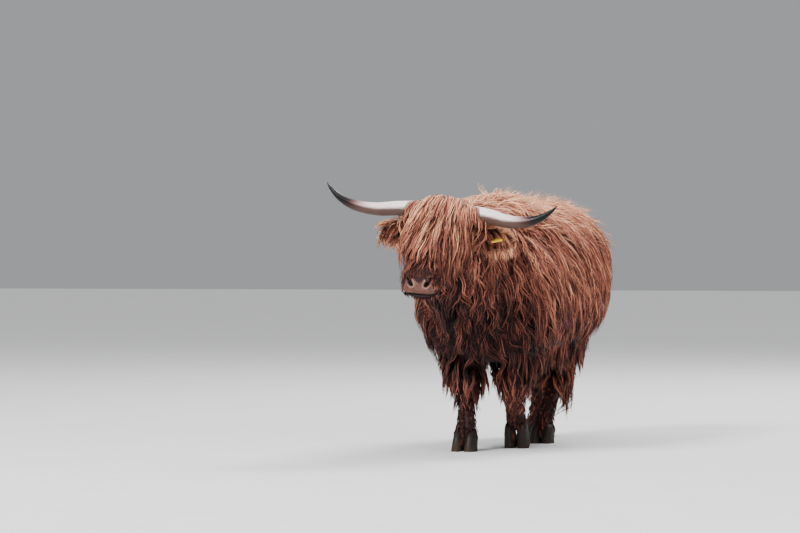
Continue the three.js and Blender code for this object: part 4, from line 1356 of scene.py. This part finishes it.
HAIR, SKIN, FLOOR, HORN = hair_finish(), skin_finish(), floor_finish(), horn_finish()
HOOF, EYEBALL, TAG_PLASTIC, BRISTLE = hoof_finish(), eye_finish(), tag_finish(), bristle_finish()


def dress(piece, finish, slot, *nodes):
    """Gives a finished piece its material and its place on the frame."""
    piece.data.materials.clear()
    piece.data.materials.append(finish)
    if nodes:
        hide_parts(*nodes)
    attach(piece, "root")
    return piece


paint(skin.data, "warmth", warmth_of(points_of(skin.data)))
feet = [f"leg_{foot}" for foot in FEET]
dress(skin, SKIN, "coat", "head", "neck", "torso", "tail", "tail_switch", *EARS, *feet)
for name, side in SIDES.items():
    dress(horns[name], HORN, "horn", f"horn_{name}")
for name, locks in fields.items():
    strands = grow(locks)
    number = len(strands["points"])
    pieces = math.ceil(number * (strand_faces(locks.segments)[1] - 2).sum() / PIECE_FACES)
    order = np.argsort(strands["points"][:, 0, 1], kind="stable")
    for i, part in enumerate(np.array_split(order, pieces)):
        own = {field: values[part] for field, values in strands.items()}
        coat_piece(f"hair_{name}_{i + 1}" if pieces > 1 else f"hair_{name}", own)


# ---- hooves ----
# Place of each foot as [x, y, height of the coronet, pitch].
HOOVES = {
    "fore_right": (-124, -606, CORONET, 0),
    "fore_left": (40, -340, CORONET + 26, 40),
    "hind_right": (-102, 634, CORONET, 0),
    "hind_left": (52, 128, CORONET, 0),
}
# Levels of a claw as [height over the coronet, forward, size].
CLAW_LEVELS = ((18, -6, 0.55), (2, 0, 0.82), (-35, 12, 0.97), (-CORONET - 14, 26, 1.1))


def make_claw(foot, place, away):
    """One claw of a cloven hoof, cut flat where it stands."""
    x, y, z, pitch = HOOVES[foot]
    levels = []
    for height, forward, share in CLAW_LEVELS:
        reach = [CLAW[part] * share for part in ("half", "front", "rear")]
        levels.append([away * CLAW["apart"], -forward, height, *reach, 0, -90, 2.3])
    form = Form(levels, HOME @ move(x, y, z) @ turn_about("X", pitch))
    points, faces = form.shell(finer=16, sides=48)
    local = within(points, form.frame)
    height, fore = local[:, 2], local[:, 1]
    rings = 0.18 * np.sin(height / 2.3 + fore / 30) + 0.4 * np.sin(height / 6.1 + fore / 19)
    outwards = unit(local - [away * CLAW["apart"], 0, 0] - local * [0, 0, 1])
    piece = mesh_object(f"claw_{foot}_{place}", placed(local + outwards * rings[:, None], form.frame), faces)
    with editing(piece) as shape:
        whole = shape.verts[:] + shape.edges[:] + shape.faces[:]
        ground = {"plane_co": (0, 0, 0), "plane_no": (0, 0, 1)}
        cut = bmesh.ops.bisect_plane(shape, geom=whole, clear_inner=True, **ground)["geom_cut"]
        bmesh.ops.contextual_create(shape, geom=[e for e in cut if isinstance(e, bmesh.types.BMEdge)])
        bmesh.ops.recalc_face_normals(shape, faces=shape.faces)
    paint(piece.data, "level", within(points_of(piece.data), form.frame)[:, 2])
    return dress(piece, HOOF, "hoof", f"hoof_{foot}_{place}")


# ---- eyes ----
CORNEA = 0.035  # how far it is raised, as a share of the eye's radius
GAZE = (-0.28, 0.06)  # forward and up, for 1 outwards


def make_eye(name, side):
    """An eyeball with a raised cornea, turned outwards."""
    rings, sides = 28, 48
    centre = np.array([side * EYE[0], EYE[1], EYE[2]])
    gaze = Vector((side, *GAZE)).normalized()
    across = gaze.cross(Vector((0, 0, 1))).normalized()
    high = across.cross(gaze)
    spots, looks = [], []
    for ring in range(rings + 1):
        angle = math.pi * ring / rings
        radius = EYE_RADIUS * (1 + CORNEA * float(soft((0.62 - angle) / 0.25)))
        for k in range(sides):
            turn = 2 * math.pi * k / sides
            a, b = math.sin(angle) * math.cos(turn), math.sin(angle) * math.sin(turn)
            spots.append(centre + radius * np.array(gaze * math.cos(angle) + across * a + high * b))
            looks.append((a, b, math.cos(angle)))
    piece = mesh_object(f"eyeball_{name}", placed(spots, FACE), tube_faces(rings + 1, sides, closed=False))
    for label, values in zip(("iris_across", "iris_high", "iris_front"), np.array(looks).T):
        paint(piece.data, label, values)
    with editing(piece) as shape:
        bmesh.ops.remove_doubles(shape, verts=shape.verts, dist=1e-6)
        bmesh.ops.recalc_face_normals(shape, faces=shape.faces)
    return dress(piece, EYEBALL, "eye", f"eye_{name}")


# ---- ear tag ----
def disc(shape, radius, start, end, taper=1.0):
    """Adds a disc or a pin through the ear, from one place in its thickness to another."""
    turn = Matrix.Translation(((start + end) / 2, TAG["along"], TAG["up"])) @ turn_about("Y", 90)
    radii = {"radius1": radius, "radius2": radius * taper}
    bmesh.ops.create_cone(shape, cap_ends=True, segments=32, depth=end - start, matrix=turn, **radii)


def tag_piece(name, shape, node):
    """A part of the tag as a finished piece in its place on the left ear."""
    mesh = bpy.data.meshes.new(name)
    shape.to_mesh(mesh)
    shape.free()
    write_points(mesh, placed(points_of(mesh), ear_frame(1)))
    return dress(shown(name, mesh), TAG_PLASTIC, "tag", node)


def make_tag():
    """A blank yellow panel that hangs from a pin through the ear, and the button behind."""
    front = CUP["forward"] - EAR["thick"] * CUP["scale"] + TAG["stand"]
    along, up, tall, shoulder, boss = (TAG[k] for k in ("along", "up", "tall", "shoulder", "boss"))
    half, corner = TAG["wide"] / 2, 4
    foot = [(-half + corner, -tall), (half - corner, -tall)]
    flank = [(half, -tall + corner), (half, -shoulder - 5), (half - corner, -shoulder), (boss, -3)]
    arch = [(boss * math.cos(a), boss * math.sin(a)) for a in np.linspace(0, math.pi, 13)]
    outline = [*foot, *flank, *arch, *[(-x, y) for x, y in reversed(flank)]]
    shape = bmesh.new()
    sheet = shape.faces.new([shape.verts.new((front, along + x, up + y)) for x, y in outline])
    raised = bmesh.ops.extrude_face_region(shape, geom=[sheet])
    for vert in [v for v in raised["geom"] if isinstance(v, bmesh.types.BMVert)]:
        vert.co.x += TAG["thick"]
    bmesh.ops.recalc_face_normals(shape, faces=shape.faces)
    edges = [e for e in shape.edges if abs(e.verts[0].co.x - e.verts[1].co.x) < 1e-3]
    bmesh.ops.bevel(shape, geom=edges, offset=0.7, segments=2, affect="EDGES")
    for axis, angle in (("Y", TAG["tilt"]), ("X", TAG["roll"])):
        turn = turn_about(axis, angle).to_3x3()
        bmesh.ops.rotate(shape, verts=shape.verts, cent=(front, along, up), matrix=turn)
    face = front + TAG["thick"]
    disc(shape, TAG["pin"], -EAR["thick"] - 0.3, face)
    disc(shape, boss * 0.62, face - 0.4, face + 1.6, 0.86)
    disc(shape, TAG["pin"] * 0.8, face + 1.4, face + 3.4, 0.4)
    for vert in shape.verts:
        vert.co.x += TAG["sag"] * (vert.co.z - up) ** 2 * (vert.co.z < up)
    tag_piece("tag_panel", shape, "ear_tag")
    shape, back = bmesh.new(), -EAR["thick"] - 0.6
    disc(shape, TAG["button"], back - TAG["thick"], back, 0.93)
    disc(shape, TAG["pin"] * 1.7, back - 1 - TAG["thick"], back - TAG["thick"], 1.2)
    tag_piece("tag_back", shape, "ear_tag_button")


# ---- lashes and whiskers ----
LASHES = ((1, 38, 0.02), (-1, 20, 0.01))  # upper and lower lid, their number and their length
WHISKERS = {"number": 60, "reach": 160, "height": -70, "length": (0.02, 0.045)}


def bristle_tree(finish):
    """Geometry nodes that set a bent, tapered bristle on every point, along its aim and to its size."""
    tree = bpy.data.node_groups.new("bristles", "GeometryNodeTree")
    sockets = {}
    for label, kind in (("Roots", "Geometry"), ("Thickness", "Float"), ("Bend", "Float"), ("Seed", "Int")):
        socket = tree.interface.new_socket(label, in_out="INPUT", socket_type=f"NodeSocket{kind}")
        sockets[label] = socket.identifier
    tree.interface.new_socket("Bristles", in_out="OUTPUT", socket_type="NodeSocketGeometry")

    def add(kind, inputs=None, **settings):
        """Adds a node: its settings first, then the values or links of its sockets."""
        node = tree.nodes.new(kind)
        for name, value in settings.items():
            setattr(node, name, value)
        for name, value in (inputs or {}).items():
            if isinstance(value, bpy.types.NodeSocket):
                tree.links.new(value, node.inputs[name])
            else:
                node.inputs[name].default_value = value
        return node.outputs

    def maths(operation, a, b):
        return add("ShaderNodeMath", {0: a, 1: b}, operation=operation)[0]

    given = add("NodeGroupInput")
    sizes = {"Vertices": 5, "Side Segments": 6, "Depth": 1.0, "Radius Top": 0.0, "Radius Bottom": 1.0}
    cone = add("GeometryNodeMeshCone", sizes)["Mesh"]
    x, y, z = add("ShaderNodeSeparateXYZ", {0: add("GeometryNodeInputPosition")[0]})
    x, y = (maths("MULTIPLY", value, given["Thickness"]) for value in (x, y))
    x = maths("ADD", x, maths("MULTIPLY", given["Bend"], maths("MULTIPLY", z, z)))
    place = add("ShaderNodeCombineXYZ", {0: x, 1: y, 2: z})[0]
    bristle = add("GeometryNodeSetPosition", {"Geometry": cone, "Position": place})[0]
    aim, size = (
        add("GeometryNodeInputNamedAttribute", {"Name": label}, data_type=kind)["Attribute"]
        for label, kind in (("aim", "FLOAT_VECTOR"), ("size", "FLOAT"))
    )
    align = "FunctionNodeAlignRotationToVector"
    turned = add(align, {"Vector": aim}, axis="Z")[0]
    rolled = add(align, {"Rotation": turned, "Vector": (0, 0, 1)}, axis="X", pivot_axis="Z")[0]
    varied = add("FunctionNodeRandomValue", {2: 0.75, 3: 1.2, "Seed": given["Seed"]}, data_type="FLOAT")[1]
    spots = add("GeometryNodeMeshToPoints", {"Mesh": given["Roots"]})[0]
    scale = maths("MULTIPLY", size, varied)
    placing = {"Points": spots, "Instance": bristle, "Rotation": rolled, "Scale": scale}
    real = add("GeometryNodeRealizeInstances", {0: add("GeometryNodeInstanceOnPoints", placing)[0]})[0]
    add("NodeGroupOutput", {0: add("GeometryNodeSetMaterial", {"Geometry": real, "Material": finish})[0]})
    return tree, sockets


def bristles(name, roots, aims, sizes, bend, thickness):
    """Bristles as one mesh. Sizes are lengths in metres; thickness and bend are shares of the length."""
    piece = mesh_object(name, roots, [])
    piece.data.attributes.new("aim", "FLOAT_VECTOR", "POINT").data.foreach_set("vector", unit(aims).ravel())
    paint(piece.data, "size", sizes)
    modifier = piece.modifiers.new("bristles", "NODES")
    modifier.node_group, sockets = bristle_tree(BRISTLE)
    for label, value in (("Thickness", thickness), ("Bend", bend), ("Seed", SEED)):
        modifier[sockets[label]] = value
    return dress(outward(settle(piece)), BRISTLE, "coat")


def make_lashes(name, side):
    """Lashes along the rim of the upper lid, and fewer along the lower."""
    heart, roots, aims, sizes = Vector(placed([side * EYE[0], *EYE[1:]], FACE)[0]), [], [], []
    for lid, count, length in LASHES:
        for share in np.linspace(-0.88, 0.88, count):
            outward_way = way(FACE, side * 20, 19 * share, lid * 11.2 * (1 - 0.45 * share**2)).normalized()
            spot = skin_tree.ray_cast(heart + outward_way * 0.2, -outward_way)[0]
            if spot is not None:
                roots.append(spot[:])
                aims.append(way(FACE, side, share * 0.5, lid * 0.5 - 0.2)[:])
                sizes.append(length * (1 - 0.4 * share**2))
    return bristles(f"lashes_{name}", np.array(roots), np.array(aims), sizes, 0.25, 0.022)


def make_whiskers():
    """Sparse long feelers on the lips and chin."""
    spots, reach = [], WHISKERS["reach"]
    for _ in range(WHISKERS["number"]):
        y, turn = draw.uniform(-462, -392), math.radians(draw.uniform(195, 345))
        c, d = math.cos(turn), math.sin(turn)
        start = Vector(placed([FACE_MIDDLE + reach * c, y, WHISKERS["height"] + reach * d], FACE)[0])
        spot, normal, _, _ = skin_tree.ray_cast(start, way(FACE, -c, 0, -d))
        if spot is not None:
            spots.append((spot[:], (normal + way(FACE, 0, -0.5, -0.2))[:]))
    roots, aims = (np.array(column) for column in zip(*spots))
    return bristles("whiskers", roots, aims, draw.uniform(*WHISKERS["length"], len(roots)), -0.35, 0.011)


for name, side in SIDES.items():
    make_eye(name, side)
for foot in HOOVES:
    side = SIDES[foot.split("_")[1]]
    make_claw(foot, "inner", -side)
    make_claw(foot, "outer", side)
make_tag()
for name, side in SIDES.items():
    make_lashes(name, side)
make_whiskers()


# ---- camera, light and floor ----
VIEW_AZIMUTH = 14  # the camera stands to the cow's left of straight ahead, degrees
VIEW_DISTANCE = 16.0  # from the middle of the shoulders
VIEW_HEIGHT = 0.9
VIEW_ASIDE = 2.085  # the view is aimed past the cow's right side, degrees
VIEW_DOWN = 0.271
LENS = 155
FLOOR_HALF = 60
SKY = {"colour": (0.86, 0.88, 0.92, 1), "strength": 0.42, "power": 1.5, "spread": 70}
LAMPS = {
    "key": ((-3.5, -7.5, 7.5), 3.0, 1550),
    "fill": ((6.5, -7, 4), 5, 400),
    "back": ((2.5, 7, 8.5), 4, 1400),
}  # place, size and power


def set_camera():
    data = bpy.data.cameras.new("camera")
    data.lens, data.sensor_width, data.clip_end = LENS, 36, 200
    camera = shown("camera", data)
    azimuth = math.radians(VIEW_AZIMUTH)
    spot = Vector((math.sin(azimuth) * VIEW_DISTANCE, -math.cos(azimuth) * VIEW_DISTANCE, VIEW_HEIGHT))
    camera.location = HOME @ spot
    camera.rotation_euler = (math.radians(90 - VIEW_DOWN), 0, math.radians(VIEW_AZIMUTH + VIEW_ASIDE))
    bpy.context.scene.camera = camera


def set_stage():
    corners = [(x * FLOOR_HALF, y * FLOOR_HALF, 0) for x, y in ((-1, -1), (1, -1), (1, 1), (-1, 1))]
    floor = mesh_object("floor", corners, [(0, 1, 2, 3)])
    floor.data.materials.append(FLOOR)
    world = bpy.data.worlds.new("studio")
    world.use_nodes = True
    background = world.node_tree.nodes["Background"].inputs
    background["Color"].default_value, background["Strength"].default_value = SKY["colour"], SKY["strength"]
    bpy.context.scene.world = world
    for name, (spot, size, power) in LAMPS.items():
        data = bpy.data.lights.new(name, "AREA")
        data.shape, data.size, data.energy = "DISK", size, power
        lamp = shown(name, data)
        lamp.location = spot
        lamp.rotation_euler = (Vector((0, 0, 0.7)) - Vector(spot)).to_track_quat("-Z", "Y").to_euler()
    data = bpy.data.lights.new("sky", "SUN")
    data.energy, data.angle = SKY["power"], math.radians(SKY["spread"])
    shown("sky", data)


set_camera()
set_stage()
